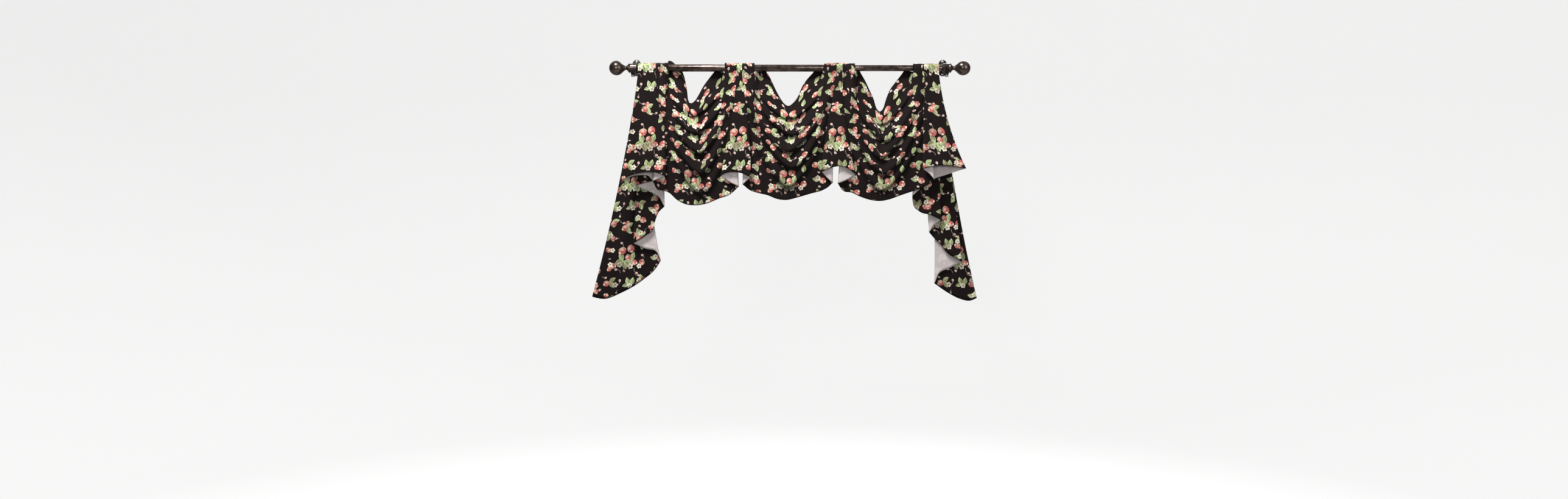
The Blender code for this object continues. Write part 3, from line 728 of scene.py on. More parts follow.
@dataclass(frozen=True)
class PrintedCotton:
    """The cloth's printed face and its plain reverse, where the print shows through faintly."""

    ground: Colour = (0.0050, 0.0024, 0.0022)
    ground_light: Colour = (0.0106, 0.0057, 0.0061)
    # Near-black of the print's outlines, also used as painted shade on the undersides of folds
    outline_and_painted_shade: Colour = (0.0012, 0.0008, 0.0008)
    reverse: Colour = (0.62, 0.57, 0.565)
    reverse_shade: Colour = (0.50, 0.44, 0.44)
    reverse_light: Colour = (0.72, 0.68, 0.66)
    ground_scale: float = 14.0
    reverse_scale: float = 40.0
    worn: Steps = (0.45, 0.80, 0.0, 0.16)
    # Painted shade: how much near-black is mixed in as the face turns from level to facing down
    shaded_below: Steps = (0.05, -0.55, 0.0, 0.72)
    roughness: Steps = (0.3, 0.7, 0.80, 0.92)
    ghost: float = 0.10
    ghost_light: float = 0.35
    ghost_share: float = 0.6
    thread_pitch: float = 0.00045
    thread_height: float = 0.0001
    thread_strength: float = 0.5
    uv_name: str = "flat cloth"

    def materials(self) -> list[bpy.types.Material]:
        """Makes the materials of both sides.

        Returns:
            The face's material and the reverse's.
        """
        berry_print, weave = BerryPrint("berry print"), PlainWeave("plain weave")
        sides = []
        for name, dress in (("printed cotton", self.face), ("cotton reverse", self.back)):
            made, wiring, shader = new_material(name)
            flat = wiring.node("UVMap", uv_map=self.uv_name).outputs["UV"]
            printed = berry_print.place(wiring, Flat=flat)
            woven = weave.place(wiring, Flat=flat, Pitch=self.thread_pitch)
            wiring.fill(shader, dress(wiring, flat, printed, woven["Slub"]))
            threads = wiring.bump(woven["Height"], self.thread_height, self.thread_strength)
            wiring.fill(shader, {"Normal": threads})
            sides.append(made)
        return sides

    def face(
        self, wiring: Wiring, flat: Socket, printed: dict[str, Socket], slub: Socket
    ) -> dict[str, Fed]:
        """Dresses the printed face, with painted shade where it faces downwards.

        Args:
            wiring: Wiring of the material.
            flat: Place on the flat cloth, in metres.
            printed: The print's outputs.
            slub: Unevenness of the threads.

        Returns:
            What feeds the shader's inputs.
        """
        ground = wiring.mix(wiring.noise(flat, self.ground_scale), self.ground, self.ground_light)
        ground = wiring.mix(printed["Halo"], ground, self.outline_and_painted_shade)
        colour = wiring.mix(printed["Mask"], ground, printed["Color"])
        worn = wiring.mix(wiring.step(slub, *self.worn), colour, self.ground_light)
        # Painted shade: where the face's normal points downwards, as under the cowl folds, its
        # colour is darkened towards near-black
        normal = wiring.node("NewGeometry").outputs["Normal"]
        facing = wiring.vector("DOT_PRODUCT", normal, (0, 0, 1))
        under = wiring.step(facing, *self.shaded_below)
        return {
            "Base Color": wiring.mix(under, worn, self.outline_and_painted_shade),
            "Roughness": wiring.step(slub, *self.roughness),
            "Sheen Weight": 0.04,
            "Sheen Roughness": 0.45,
            "Specular IOR Level": 0.14,
        }

    def back(
        self, wiring: Wiring, flat: Socket, printed: dict[str, Socket], slub: Socket
    ) -> dict[str, Fed]:
        """Dresses the plain reverse.

        Args:
            wiring: Wiring of the material.
            flat: Place on the flat cloth, in metres.
            printed: The print's outputs.
            slub: Unevenness of the threads.

        Returns:
            What feeds the shader's inputs.
        """
        cloud = wiring.mix(
            wiring.noise(flat, self.reverse_scale), self.reverse_shade, self.reverse
        )
        ghost = wiring.mix(self.ghost, cloud, printed["Color"])
        lighter = wiring.mix(self.ghost_light, cloud, self.reverse_light)
        shown = wiring.math("MULTIPLY", printed["Mask"], self.ghost_share)
        return {
            "Base Color": wiring.mix(shown, ghost, lighter),
            "Roughness": 0.88,
            "Specular IOR Level": 0.25,
        }


class Patina(ShaderGroup):
    """Rubbed metal: cloudy colour and gloss, with finer scratches in the gloss."""

    inputs = {
        "Object": "Vector", "Dark": "Color", "Rubbed": "Color", "Low": "Float", "High": "Float"
    }
    outputs = {"Color": "Color", "Roughness": "Float", "Height": "Float"}
    cloud_scale: float = 55.0
    cloud_detail: float = 5.0
    grain_scale: float = 900.0
    grain_detail: float = 2.0
    scratch_stretch: Point = (40.0, 600.0, 600.0)
    scratch_share: float = 0.35
    rubbed: Steps = (0.35, 0.68)

    def draw(self, wiring: Wiring, given: dict[str, Socket]) -> dict[str, Fed]:
        """Draws the clouds, scratches and grain.

        Args:
            wiring: Wiring of the group's tree.
            given: The group's input sockets by name.

        Returns:
            What feeds each output, by name.
        """
        cloud = wiring.noise(given["Object"], self.cloud_scale, self.cloud_detail)
        grain = wiring.noise(given["Object"], self.grain_scale, self.grain_detail)
        stretched = wiring.vector("MULTIPLY", given["Object"], self.scratch_stretch)
        scratches = wiring.noise(stretched, 1.0)
        clouds = wiring.math("MULTIPLY", cloud, 1 - self.scratch_share)
        rough = wiring.math("MULTIPLY_ADD", scratches, self.scratch_share, clouds)
        spread = wiring.math("SUBTRACT", given["High"], given["Low"])
        return {
            "Color": wiring.mix(wiring.step(cloud, *self.rubbed), given["Dark"], given["Rubbed"]),
            "Roughness": wiring.math("MULTIPLY_ADD", rough, spread, given["Low"]),
            "Height": grain,
        }


@dataclass(frozen=True)
class RubbedMetal:
    """A metal finish that patina clouds."""

    name: str
    dark: Colour
    rubbed: Colour
    low: float
    high: float
    metallic: float
    lacquer: float
    lacquer_roughness: float = 0.20
    grain_height: float = 0.00005
    grain_strength: float = 0.35

    def material(self, patina: Patina) -> bpy.types.Material:
        """Makes the finish's material.

        Args:
            patina: The shared patina group.

        Returns:
            The material.
        """
        made, wiring, shader = new_material(self.name)
        place = wiring.node("TexCoord").outputs["Object"]
        worn = patina.place(
            wiring, Object=place, Dark=self.dark, Rubbed=self.rubbed, Low=self.low, High=self.high
        )
        wiring.fill(shader, {
            "Base Color": worn["Color"],
            "Roughness": worn["Roughness"],
            "Normal": wiring.bump(worn["Height"], self.grain_height, self.grain_strength),
            "Metallic": self.metallic,
            "Coat Weight": self.lacquer,
            "Coat Roughness": self.lacquer_roughness,
        })
        return made


BRONZE = RubbedMetal(
    "oil rubbed bronze", (0.050, 0.032, 0.026), (0.165, 0.114, 0.094), 0.16, 0.30, 0.92, 0.6
)
IRON = RubbedMetal(
    "dark bracket iron", (0.022, 0.018, 0.018), (0.050, 0.041, 0.040), 0.30, 0.48, 0.80, 0.1
)
SCREW_STEEL = RubbedMetal(
    "screw steel", (0.30, 0.29, 0.28), (0.52, 0.51, 0.50), 0.22, 0.40, 1.0, 0.0
)


# ---- meshes and objects ---------------------------------------------------------------------


def add_object(name: str, data: bpy.types.ID) -> bpy.types.Object:
    """Puts an object in the scene.

    Args:
        name: The object's name.
        data: Its mesh, light or camera.

    Returns:
        The object.
    """
    made = bpy.data.objects.new(name, data)
    bpy.context.scene.collection.objects.link(made)
    return made


def mesh_object(name: str, bm: bmesh.types.BMesh) -> bpy.types.Object:
    """Puts a finished shape in the scene.

    Args:
        name: The name of the object and of its mesh.
        bm: The shape, which is freed.

    Returns:
        The object.
    """
    mesh = bpy.data.meshes.new(name)
    bm.to_mesh(mesh)
    bm.free()
    return add_object(name, mesh)


def spun(
    points: list[Vector], axis: Point, centre: Point, steps: int, closed: bool
) -> bmesh.types.BMesh:
    """Spins a profile full round.

    Args:
        points: The profile's points in order.
        axis: Direction of the axis.
        centre: A point on the axis.
        steps: How many faces go round.
        closed: Whether the last point joins the first.

    Returns:
        The turned shape, with its seam closed and its normals outwards.
    """
    bm = bmesh.new()
    verts = [bm.verts.new(point) for point in points]
    ends = verts[1:] + verts[:1] if closed else verts[1:]
    edges = [bm.edges.new(pair) for pair in zip(verts, ends)]
    bmesh.ops.spin(
        bm, geom=verts + edges, axis=axis, cent=centre, angle=math.tau, steps=steps,
        use_merge=True,
    )
    bmesh.ops.remove_doubles(bm, verts=bm.verts, dist=SEAM_GAP)
    bmesh.ops.recalc_face_normals(bm, faces=bm.faces)
    return bm


# ---- the draped cloth -----------------------------------------------------------------------


@dataclass(frozen=True)
class Fold:
    """A line that the sheet turns on, from the pleats' top to its own point on the hem."""

    top_x: float
    hem_x: float
    hem_z: float
    bow: float = 0.0

    def x(self, down: np.ndarray) -> np.ndarray:
        """Returns the line's X at the given shares of the way down."""
        return self.top_x + (self.hem_x - self.top_x) * down + 4 * self.bow * down * (1 - down)


@dataclass(frozen=True)
class Panel:
    """What hangs between two neighbouring folds, by its distance from the wall at each corner.

    A face has a place in the print, counted in its columns. What runs back behind a face has none.
    """

    name: str
    print_column: float | None
    top_start: float
    top_end: float
    hem_start: float
    hem_end: float
    hem_via: tuple[tuple[float, float], ...]


@dataclass(frozen=True)
class Cowl:
    """A fold of a swag that hangs from both of its tabs."""

    left_x: float
    left_z: float
    low_x: float
    low_z: float
    right_x: float
    right_z: float
    height: float
    width: float
    curve: float = 1.5
    narrowing: float = 0.45
    soft_above: float = 1.25
    steep_below: float = 0.75
    end_fade: int = 4

    def relief(self, x: np.ndarray, z: np.ndarray) -> np.ndarray:
        """How far the fold lifts each point: soft above its line and steep below it.

        Args:
            x: The points' X.
            z: The points' Z.

        Returns:
            The lift of each point.
        """
        leftward = x < self.low_x
        side = np.where(leftward, self.left_x, self.right_x)
        rise = np.where(leftward, self.left_z, self.right_z) - self.low_z
        along = np.clip((x - self.low_x) / (side - self.low_x), 0, 1)
        slope = self.curve * rise * along ** (self.curve - 1) / (side - self.low_x)
        width = self.width * (1 - self.narrowing * along)
        off = (z - self.low_z - rise * along**self.curve) / np.sqrt(1 + slope**2) / width
        shape = np.exp(-((off / np.where(off > 0, self.soft_above, self.steep_below)) ** 2))
        return self.height * shape * (1 - along**self.end_fade)


@dataclass(frozen=True)
class Crease:
    """A soft ridge, or a trough where its height is negative, between two points of a panel."""

    panel: str
    start_x: float
    start_z: float
    end_x: float
    end_z: float
    sag: float
    height: float
    width: float
    bluntness: float = 0.7

    def relief(self, x: np.ndarray, z: np.ndarray) -> np.ndarray:
        """How far the crease lifts each point.

        Args:
            x: The points' X.
            z: The points' Z.

        Returns:
            The lift of each point.
        """
        run_x, run_z = self.end_x - self.start_x, self.end_z - self.start_z
        length = math.hypot(run_x, run_z)
        from_x, from_z = x - self.start_x, z - self.start_z
        inside = np.clip((from_x * run_x + from_z * run_z) / length**2, 0, 1)
        off = (from_z * run_x - from_x * run_z) / length - 4 * self.sag * inside * (1 - inside)
        ridge = np.exp(-((off / self.width) ** 2))
        return self.height * ridge * np.sin(math.pi * inside) ** self.bluntness


@dataclass(frozen=True)
class Tab:
    """Where the sheet is looped over the rod."""

    left_x: float
    right_x: float
    tube_radius: float = WIDE_TUBE_RADIUS
    radius: float = 0.0135


# The sheet's folds in order along its hem, from its left edge to its right edge
FOLDS = (
    # Left tail, outer edge first
    Fold(-0.461, -0.608, -0.698, 0.010),
    Fold(-0.387, -0.396, -0.586, -0.034),
    Fold(-0.453, -0.478, -0.533, 0.004),
    Fold(-0.386, -0.382, -0.420, 0.002),
    Fold(-0.452, -0.466, -0.357),
    Fold(-0.418, -0.415, -0.342),
    # First cone and swag
    Fold(-0.459, -0.510, -0.348, 0.004),
    Fold(-0.411, -0.374, -0.328, 0.012),
    Fold(-0.396, -0.412, -0.343),
    Fold(-0.166, -0.154, -0.359),
    # Second cone and swag
    Fold(-0.155, -0.207, -0.326),
    Fold(-0.151, -0.118, -0.331, 0.010),
    Fold(-0.138, -0.142, -0.353),
    Fold(0.135, 0.129, -0.348),
    # Third cone and swag
    Fold(0.147, 0.096, -0.315, -0.007),
    Fold(0.153, 0.197, -0.324, -0.006),
    Fold(0.167, 0.145, -0.350),
    Fold(0.400, 0.436, -0.340),
    # Fourth cone
    Fold(0.412, 0.400, -0.306, -0.003),
    Fold(0.451, 0.530, -0.305, -0.014),
    # Right tail, outer edge last
    Fold(0.384, 0.373, -0.387),
    Fold(0.447, 0.461, -0.461),
    Fold(0.386, 0.427, -0.499),
    Fold(0.448, 0.529, -0.591, 0.004),
    Fold(0.390, 0.446, -0.658, 0.017),
    Fold(0.454, 0.578, -0.704, -0.010),
)

# Distances from the wall at a panel's top and hem corners
CONE_DEPTHS = (0.0990, 0.0990, 0.124, 0.124)
RETURN_DEPTHS = (0.0988, 0.0988, 0.114, 0.114)
SWAG_DEPTHS = (0.0985, 0.0985, 0.102, 0.102)

PANELS = (
    Panel("left_tail_3", -4.94, 0.0755, 0.0755, 0.040, 0.044,
          ((-0.594, -0.702), (-0.571, -0.705), (-0.518, -0.686), (-0.452, -0.647),
           (-0.405, -0.602))),
    Panel("left_return_3", None, 0.0790, 0.0790, 0.054, 0.056,
          ((-0.403, -0.567), (-0.443, -0.549))),
    Panel("left_tail_2", -3.46, 0.0825, 0.0825, 0.068, 0.068,
          ((-0.436, -0.506), (-0.416, -0.488), (-0.411, -0.466), (-0.402, -0.442))),
    Panel("left_return_2", None, 0.0860, 0.0860, 0.080, 0.080,
          ((-0.394, -0.396), (-0.431, -0.373))),
    Panel("left_tail_1", -2.8, 0.0895, 0.0895, 0.091, 0.091, ((-0.442, -0.348),)),
    Panel("left_return_1", None, 0.0925, 0.0955, 0.097, 0.106,
          ((-0.424, -0.330), (-0.450, -0.325), (-0.485, -0.332))),
    Panel("cone_1", -2, 0.0988, 0.0990, 0.122, 0.124,
          ((-0.489, -0.331), (-0.462, -0.321), (-0.398, -0.318))),
    Panel("cone_1_return_right", None, *RETURN_DEPTHS, ((-0.393, -0.335),)),
    Panel("swag_1", -1, *SWAG_DEPTHS,
          ((-0.406, -0.361), (-0.383, -0.371), (-0.362, -0.380), (-0.344, -0.397), (-0.317, -0.412),
           (-0.288, -0.416), (-0.255, -0.412), (-0.212, -0.395), (-0.180, -0.383))),
    Panel("cone_2_return_left", None, *RETURN_DEPTHS, ((-0.182, -0.345),)),
    Panel("cone_2", 0, *CONE_DEPTHS, ((-0.193, -0.319), (-0.146, -0.319))),
    Panel("cone_2_return_right", None, *RETURN_DEPTHS, ((-0.130, -0.342),)),
    Panel("swag_2", 1, *SWAG_DEPTHS,
          ((-0.123, -0.369), (-0.096, -0.379), (-0.069, -0.385), (-0.038, -0.397), (-0.012, -0.400),
           (0.024, -0.392), (0.062, -0.381), (0.102, -0.369), (0.117, -0.360))),
    Panel("cone_3_return_left", None, *RETURN_DEPTHS, ((0.112, -0.333),)),
    Panel("cone_3", 2, *CONE_DEPTHS, ((0.110, -0.308), (0.176, -0.306))),
    Panel("cone_3_return_right", None, *RETURN_DEPTHS, ((0.172, -0.339),)),
    Panel("swag_3", 3, *SWAG_DEPTHS,
          ((0.158, -0.370), (0.187, -0.378), (0.208, -0.388), (0.236, -0.398), (0.271, -0.403),
           (0.304, -0.397), (0.334, -0.386), (0.364, -0.376), (0.402, -0.362))),
    Panel("cone_4_return_left", None, *RETURN_DEPTHS, ((0.420, -0.321),)),
    Panel("cone_4", 4, 0.0990, 0.0988, 0.124, 0.122, ((0.425, -0.299), (0.480, -0.297))),
    Panel("right_return_1", None, 0.0955, 0.0900, 0.106, 0.086,
          ((0.466, -0.326), (0.437, -0.336), (0.400, -0.362))),
    Panel("right_tail_1", 5.15, 0.0870, 0.0870, 0.076, 0.076,
          ((0.375, -0.413), (0.394, -0.435), (0.429, -0.446))),
    Panel("right_return_2", None, 0.0841, 0.0841, 0.064, 0.064, ((0.437, -0.482),)),
    Panel("right_tail_2", 6.0, 0.0812, 0.0812, 0.052, 0.052,
          ((0.441, -0.516), (0.464, -0.538), (0.478, -0.558), (0.516, -0.583))),
    Panel("right_return_3", None, 0.0783, 0.0783, 0.040, 0.040,
          ((0.490, -0.611), (0.455, -0.633))),
    Panel("right_tail_3", 6.9, 0.0754, 0.0754, 0.030, 0.026,
          ((0.488, -0.687), (0.531, -0.708), (0.556, -0.712))),
)

TABS = (
    Tab(-0.458, -0.370),
    Tab(-0.197, -0.107),
    Tab(0.105, 0.197),
    Tab(0.375, 0.452, THIN_TUBE_RADIUS),
)

# Top edge of each swag, as (x, distance from the wall, z)
SCOOPS = {
    "swag_1": (
        (-0.370, 0.0985, -0.0170), (-0.3675, 0.0905, -0.0130), (-0.3670, 0.0760, -0.0115),
        (-0.3700, 0.0665, 0.007), (-0.3735, 0.0650, 0.0225), (-0.3650, 0.0650, 0.0240),
        (-0.3570, 0.0650, 0.0205), (-0.3490, 0.0651, 0.0120), (-0.3400, 0.0660, 0.003),
        (-0.328, 0.0670, -0.009), (-0.316, 0.0715, -0.050), (-0.311, 0.0770, -0.082),
        (-0.309, 0.0800, -0.100), (-0.300, 0.0830, -0.107),
        (-0.287, 0.0830, -0.098), (-0.276, 0.0820, -0.080), (-0.264, 0.0790, -0.057),
        (-0.246, 0.0740, -0.031), (-0.231, 0.0690, -0.011), (-0.218, 0.0660, 0.003),
        (-0.210, 0.0660, 0.001), (-0.205, 0.0760, -0.0110), (-0.201, 0.0905, -0.0125),
        (-0.197, 0.0985, -0.017),
    ),
    "swag_2": (
        (-0.107, 0.0985, -0.017), (-0.103, 0.0905, -0.0125), (-0.099, 0.0760, -0.0110),
        (-0.094, 0.0665, 0.000), (-0.087, 0.0655, 0.005), (-0.079, 0.0660, -0.001),
        (-0.070, 0.0680, -0.012), (-0.058, 0.0710, -0.032), (-0.045, 0.0750, -0.061),
        (-0.030, 0.0790, -0.089), (-0.018, 0.0820, -0.107), (-0.004, 0.0840, -0.115),
        (0.010, 0.0830, -0.106), (0.024, 0.0800, -0.088), (0.038, 0.0760, -0.055),
        (0.052, 0.0720, -0.034), (0.070, 0.0680, -0.014), (0.082, 0.0660, 0.001),
        (0.091, 0.0660, 0.002), (0.097, 0.0760, -0.0110), (0.101, 0.0905, -0.0125),
        (0.105, 0.0985, -0.017),
    ),
    "swag_3": (
        (0.197, 0.0985, -0.017), (0.200, 0.0905, -0.0110), (0.203, 0.0760, -0.0100),
        (0.206, 0.0665, -0.002), (0.210, 0.0660, 0.000), (0.215, 0.0670, -0.011),
        (0.228, 0.0700, -0.034), (0.244, 0.0740, -0.069), (0.255, 0.0780, -0.094),
        (0.263, 0.0820, -0.122), (0.273, 0.0840, -0.132), (0.284, 0.0830, -0.122),
        (0.291, 0.0800, -0.099), (0.305, 0.0760, -0.065), (0.322, 0.0720, -0.042),
        (0.345, 0.0680, -0.012), (0.354, 0.0660, 0.002), (0.361, 0.0660, 0.002),
        (0.367, 0.0760, -0.0100), (0.371, 0.0905, -0.0110), (0.375, 0.0985, -0.017),
    ),
}

COWLS = {
    "swag_1": (
        Cowl(-0.385, -0.045, -0.294, -0.140, -0.186, -0.040, 0.0109, 0.010),
        Cowl(-0.402, -0.045, -0.286, -0.190, -0.170, -0.048, 0.0159, 0.013),
        Cowl(-0.410, -0.055, -0.272, -0.248, -0.160, -0.060, 0.0188, 0.015),
        Cowl(-0.408, -0.090, -0.268, -0.310, -0.158, -0.088, 0.0167, 0.017),
        Cowl(-0.404, -0.150, -0.264, -0.370, -0.156, -0.145, 0.0101, 0.018),
    ),
    "swag_2": (
        Cowl(-0.122, -0.040, -0.002, -0.150, 0.120, -0.040, 0.0109, 0.010),
        Cowl(-0.138, -0.045, 0.006, -0.196, 0.134, -0.045, 0.0159, 0.013),
        Cowl(-0.142, -0.060, -0.006, -0.244, 0.138, -0.056, 0.0188, 0.015),
        Cowl(-0.140, -0.085, 0.006, -0.294, 0.134, -0.085, 0.0174, 0.017),
        Cowl(-0.138, -0.140, -0.004, -0.350, 0.130, -0.140, 0.0101, 0.018),
    ),
    "swag_3": (
        Cowl(0.184, -0.045, 0.276, -0.166, 0.386, -0.040, 0.0116, 0.010),
        Cowl(0.166, -0.045, 0.286, -0.212, 0.400, -0.048, 0.0167, 0.013),
        Cowl(0.158, -0.062, 0.272, -0.262, 0.410, -0.060, 0.0188, 0.015),
        Cowl(0.152, -0.100, 0.282, -0.312, 0.420, -0.090, 0.0167, 0.017),
        Cowl(0.150, -0.155, 0.276, -0.362, 0.426, -0.145, 0.0101, 0.017),
    ),
}

CREASES = (
    Crease("cone_1", -0.470, -0.060, -0.497, -0.300, 0.004, 0.0030, 0.010),
    Crease("cone_1", -0.400, -0.030, -0.392, -0.200, 0.004, -0.0020, 0.007),
    Crease("cone_4", 0.440, -0.030, 0.500, -0.270, 0.006, 0.0025, 0.010),
    Crease("cone_4", 0.425, -0.040, 0.440, -0.240, -0.004, -0.0020, 0.008),
    Crease("cone_2", -0.160, -0.130, -0.180, -0.300, 0.002, 0.0018, 0.009),
    Crease("cone_3", 0.150, -0.130, 0.135, -0.290, 0.002, 0.0018, 0.009),
    Crease("left_tail_3", -0.470, -0.350, -0.560, -0.660, 0.006, 0.0050, 0.016),
    Crease("left_tail_3", -0.440, -0.380, -0.480, -0.640, -0.004, -0.0040, 0.014),
    Crease("right_tail_3", 0.490, -0.400, 0.540, -0.670, 0.004, 0.0035, 0.012),
)


@dataclass
class ValanceCloth:
    """The draped sheet: panels between fold lines, layered at different distances from the wall."""

    thickness: float = 0.0012
    body_thickness_share: float = 0.6
    pleat_top_z: float = -0.017
    wrap_start_deg: float = 195.0
    wrap_end_deg: float = -65.0
    wrap_rows: int = 18
    drape_rows: int = 72
    column_pitch: float = 0.0078
    fewest_columns: int = 4
    end_steps: tuple[float, ...] = (0.0, 0.07, 0.28, 0.60, 1.0)
    turn_roundness: float = 1.2
    widest_turn: float = 0.3
    top_ease: float = 3.0
    depth_ease: float = 0.8
    swag_belly: float = 0.009
    belly_ease: float = 0.8
    cowl_drop: float = 0.45
    cover_fade: float = 0.03
    least_cover: float = 0.2
    tab_edge_steps: int = 4
    tab_front: float = 0.0975
    tab_seat_gap: float = 0.0006
    chord_weights: Point = (1.0, 0.35, 0.4)
    hem_width: float = 0.012
    rumple: float = 0.0011
    rumple_size: float = 0.035
    rumple_height: float = 0.6
    rumple_octaves: int = 3
    gather_width: float = 0.011
    gather_height: float = 0.0042
    gather_turn: float = 0.4
    gather_share: float = 0.5
    gather_spread: float = 0.7
    bouquet_z: float = -0.218
    print_fullness: float = 1.4
    least_run: float = 1e-6
    cotton: PrintedCotton = field(default_factory=PrintedCotton)

    def shares_along(self, points: np.ndarray) -> np.ndarray:
        """Returns the share of the curve's weighted length at which each of its points lies."""
        steps = np.linalg.norm(np.diff(points, axis=0) * self.chord_weights, axis=1)
        return np.concatenate([[0], np.cumsum(steps)]) / steps.sum()

    def curve_through(self, points: list[Point], at: np.ndarray) -> np.ndarray:
        """Points on a smooth curve through the given ones.

        Args:
            points: The points to pass through.
            at: Shares 0..1 of the curve's weighted length, in an array of any shape.

        Returns:
            An array of at's shape with a last axis of x, y and z.
        """
        through = np.array(points)
        knots = self.shares_along(through)
        slopes = np.gradient(through, knots, axis=0)
        index = np.clip(np.searchsorted(knots, at, side="right") - 1, 0, len(knots) - 2)
        span = (knots[index + 1] - knots[index])[..., None]
        s = (at - knots[index])[..., None] / span
        return (
            (2 * s**3 - 3 * s**2 + 1) * through[index]
            + (s**3 - 2 * s**2 + s) * span * slopes[index]
            + (3 * s**2 - 2 * s**3) * through[index + 1]
            + (s**3 - s**2) * span * slopes[index + 1]
        )

    def edges(self, number: int) -> tuple[list[Point], list[Point]]:
        """Points that a panel's edges pass through.

        Args:
            number: The panel's place in the row of panels.

        Returns:
            The points of its top edge, and those of its hem.
        """
        panel, before, after = PANELS[number], FOLDS[number], FOLDS[number + 1]
        top = [
            (before.top_x, panel.top_start, self.pleat_top_z),
            *SCOOPS.get(panel.name, ()),
            (after.top_x, panel.top_end, self.pleat_top_z),
        ]
        hem = [
            (before.hem_x, 0, before.hem_z),
            *((x, 0, z) for x, z in panel.hem_via),
            (after.hem_x, 0, after.hem_z),
        ]
        return top, hem

    def depths(self, panel: Panel, across: np.ndarray | float, down: np.ndarray) -> np.ndarray:
        """Distance from the wall before the turns are rounded.

        Args:
            panel: The panel.
            across: Shares of the way across it.
            down: Shares of the way down.

        Returns:
            The distance at each place.
        """
        top = panel.top_start + (panel.top_end - panel.top_start) * across
        hem = panel.hem_start + (panel.hem_end - panel.hem_start) * across
        return top + (hem - top) * down**self.depth_ease

    def inner_shares(self, number: int, top: list[Point]) -> np.ndarray:
        """Shares across a panel at which its inner columns lie.

        Args:
            number: The panel's place in the row of panels.
            top: The panel's top edge.

        Returns:
            Rising shares from 0 to 1. A swag has one at the edge of each of its tabs.
        """
        panel, before, after = PANELS[number], FOLDS[number], FOLDS[number + 1]
        hem = math.hypot(after.hem_x - before.hem_x, after.hem_z - before.hem_z)
        steps = max(self.fewest_columns, round(hem / self.column_pitch))
        if panel.name not in SCOOPS:
            return np.linspace(0, 1, steps + 1)
        knots = self.shares_along(np.array(top))
        left, right = knots[1], knots[-2]
        return np.concatenate([
            np.linspace(0, left, self.tab_edge_steps + 1)[:-1],
            np.linspace(left, right, steps + 1),
            np.linspace(right, 1, self.tab_edge_steps + 1)[1:],
        ])

    def turn(
        self, number: int, share: int, down: np.ndarray
    ) -> tuple[np.ndarray, np.ndarray | None]:
        """How a panel rounds one of its folds.

        Args:
            number: The panel's place in the row of panels.
            share: Share across the panel at which the fold lies, 0 or 1.
            down: Shares of the way down.

        Returns:
            The depth on the fold line, and the share of the width that the turn takes, or None
            at the sheet's own edge.
        """
        here = self.depths(PANELS[number], share, down)
        neighbour = number + 2 * share - 1
        if not 0 <= neighbour < len(PANELS):
            return here, None
        width = abs(FOLDS[number + 1].x(down) - FOLDS[number].x(down)) + self.thickness
        middle = (here + self.depths(PANELS[neighbour], 1 - share, down)) / 2
        needed = self.turn_roundness * abs(middle - here) / width
        return middle, np.minimum(needed, self.widest_turn)

    def columns_across(
        self, inner: np.ndarray, turns: list[np.ndarray | None], down: np.ndarray
    ) -> np.ndarray:
        """Shares across a panel at which its columns lie, close together in the turns.

        Args:
            inner: Shares of the inner columns between the turns, with both ends.
            turns: Share of the width that the turn at the start and at the end takes.
            down: Shares of the way down.

        Returns:
            The shares, row by row.
        """
        start, end = turns
        steps = np.array(self.end_steps)
        first = 0 * down if start is None else steps * start
        last = 1 + 0 * down if end is None else 1 - (steps * end)[:, ::-1]
        middle = first[:, -1:] + (last[:, :1] - first[:, -1:]) * inner[1:-1]
        return np.concatenate([first, middle, last], axis=1)

    def cowl_relief(
        self, number: int, x: np.ndarray, z: np.ndarray, down: np.ndarray
    ) -> np.ndarray:
        """How far a swag's cowl folds lift each point. They fade where a cone covers them.

        Args:
            number: The swag's place in the row of panels.
            x: The points' X.
            z: The points' Z.
            down: Shares of the way down.

        Returns:
            The lift of each point.
        """
        cover = np.minimum(x - FOLDS[number - 1].x(down), FOLDS[number + 2].x(down) - x)
        relief = sum(cowl.relief(x, z) for cowl in COWLS[PANELS[number].name])
        return relief * np.clip(1 + cover / self.cover_fade, self.least_cover, 1)

    def panel_points(self, number: int, fullness: float = 1.0) -> np.ndarray:
        """Grid of points of one panel, from the pleats' top down to the hem.

        Args:
            number: The panel's place in the row of panels.
            fullness: How many times deeper than they are the swags' folds are taken to be.

        Returns:
            An array of rows, columns and (x, y, z).
        """
        panel, before, after = PANELS[number], FOLDS[number], FOLDS[number + 1]
        down = np.linspace(0, 1, self.drape_rows)[:, None]
        top, hem = self.edges(number)
        fold_depths, turns = zip(*(self.turn(number, share, down) for share in (0, 1)))
        across = self.columns_across(self.inner_shares(number, top), turns, down)
        top, hem = self.curve_through(top, across), self.curve_through(hem, across)
        bow = before.bow + (after.bow - before.bow) * across
        x = top[..., 0] + (hem[..., 0] - top[..., 0]) * down + 4 * bow * down * (1 - down)
        z = top[..., 2] + (hem[..., 2] - top[..., 2]) * down
        y = self.depths(panel, across, down)
        if panel.name in SCOOPS:
            belly = np.sin(math.pi * across) * np.sin(math.pi * down**self.belly_ease)
            relief = self.cowl_relief(number, x, z, down)
            y = y + (top[..., 1] - panel.top_start) * (1 - down) ** self.top_ease
            y = y + self.swag_belly * belly + relief * fullness
            z = z - self.cowl_drop * relief
        for crease in CREASES:
            if crease.panel == panel.name:
                y = y + crease.relief(x, z)
        for share, from_fold in ((0, across), (1, 1 - across)):
            if turns[share] is not None:
                inside = 1 - np.clip(from_fold / turns[share], 0, 1)
                to_come = 1 - np.sqrt(1 - inside**2)
                y = y + (fold_depths[share] - self.depths(panel, share, down)) * to_come
        return np.stack([x, -y, z], axis=-1)

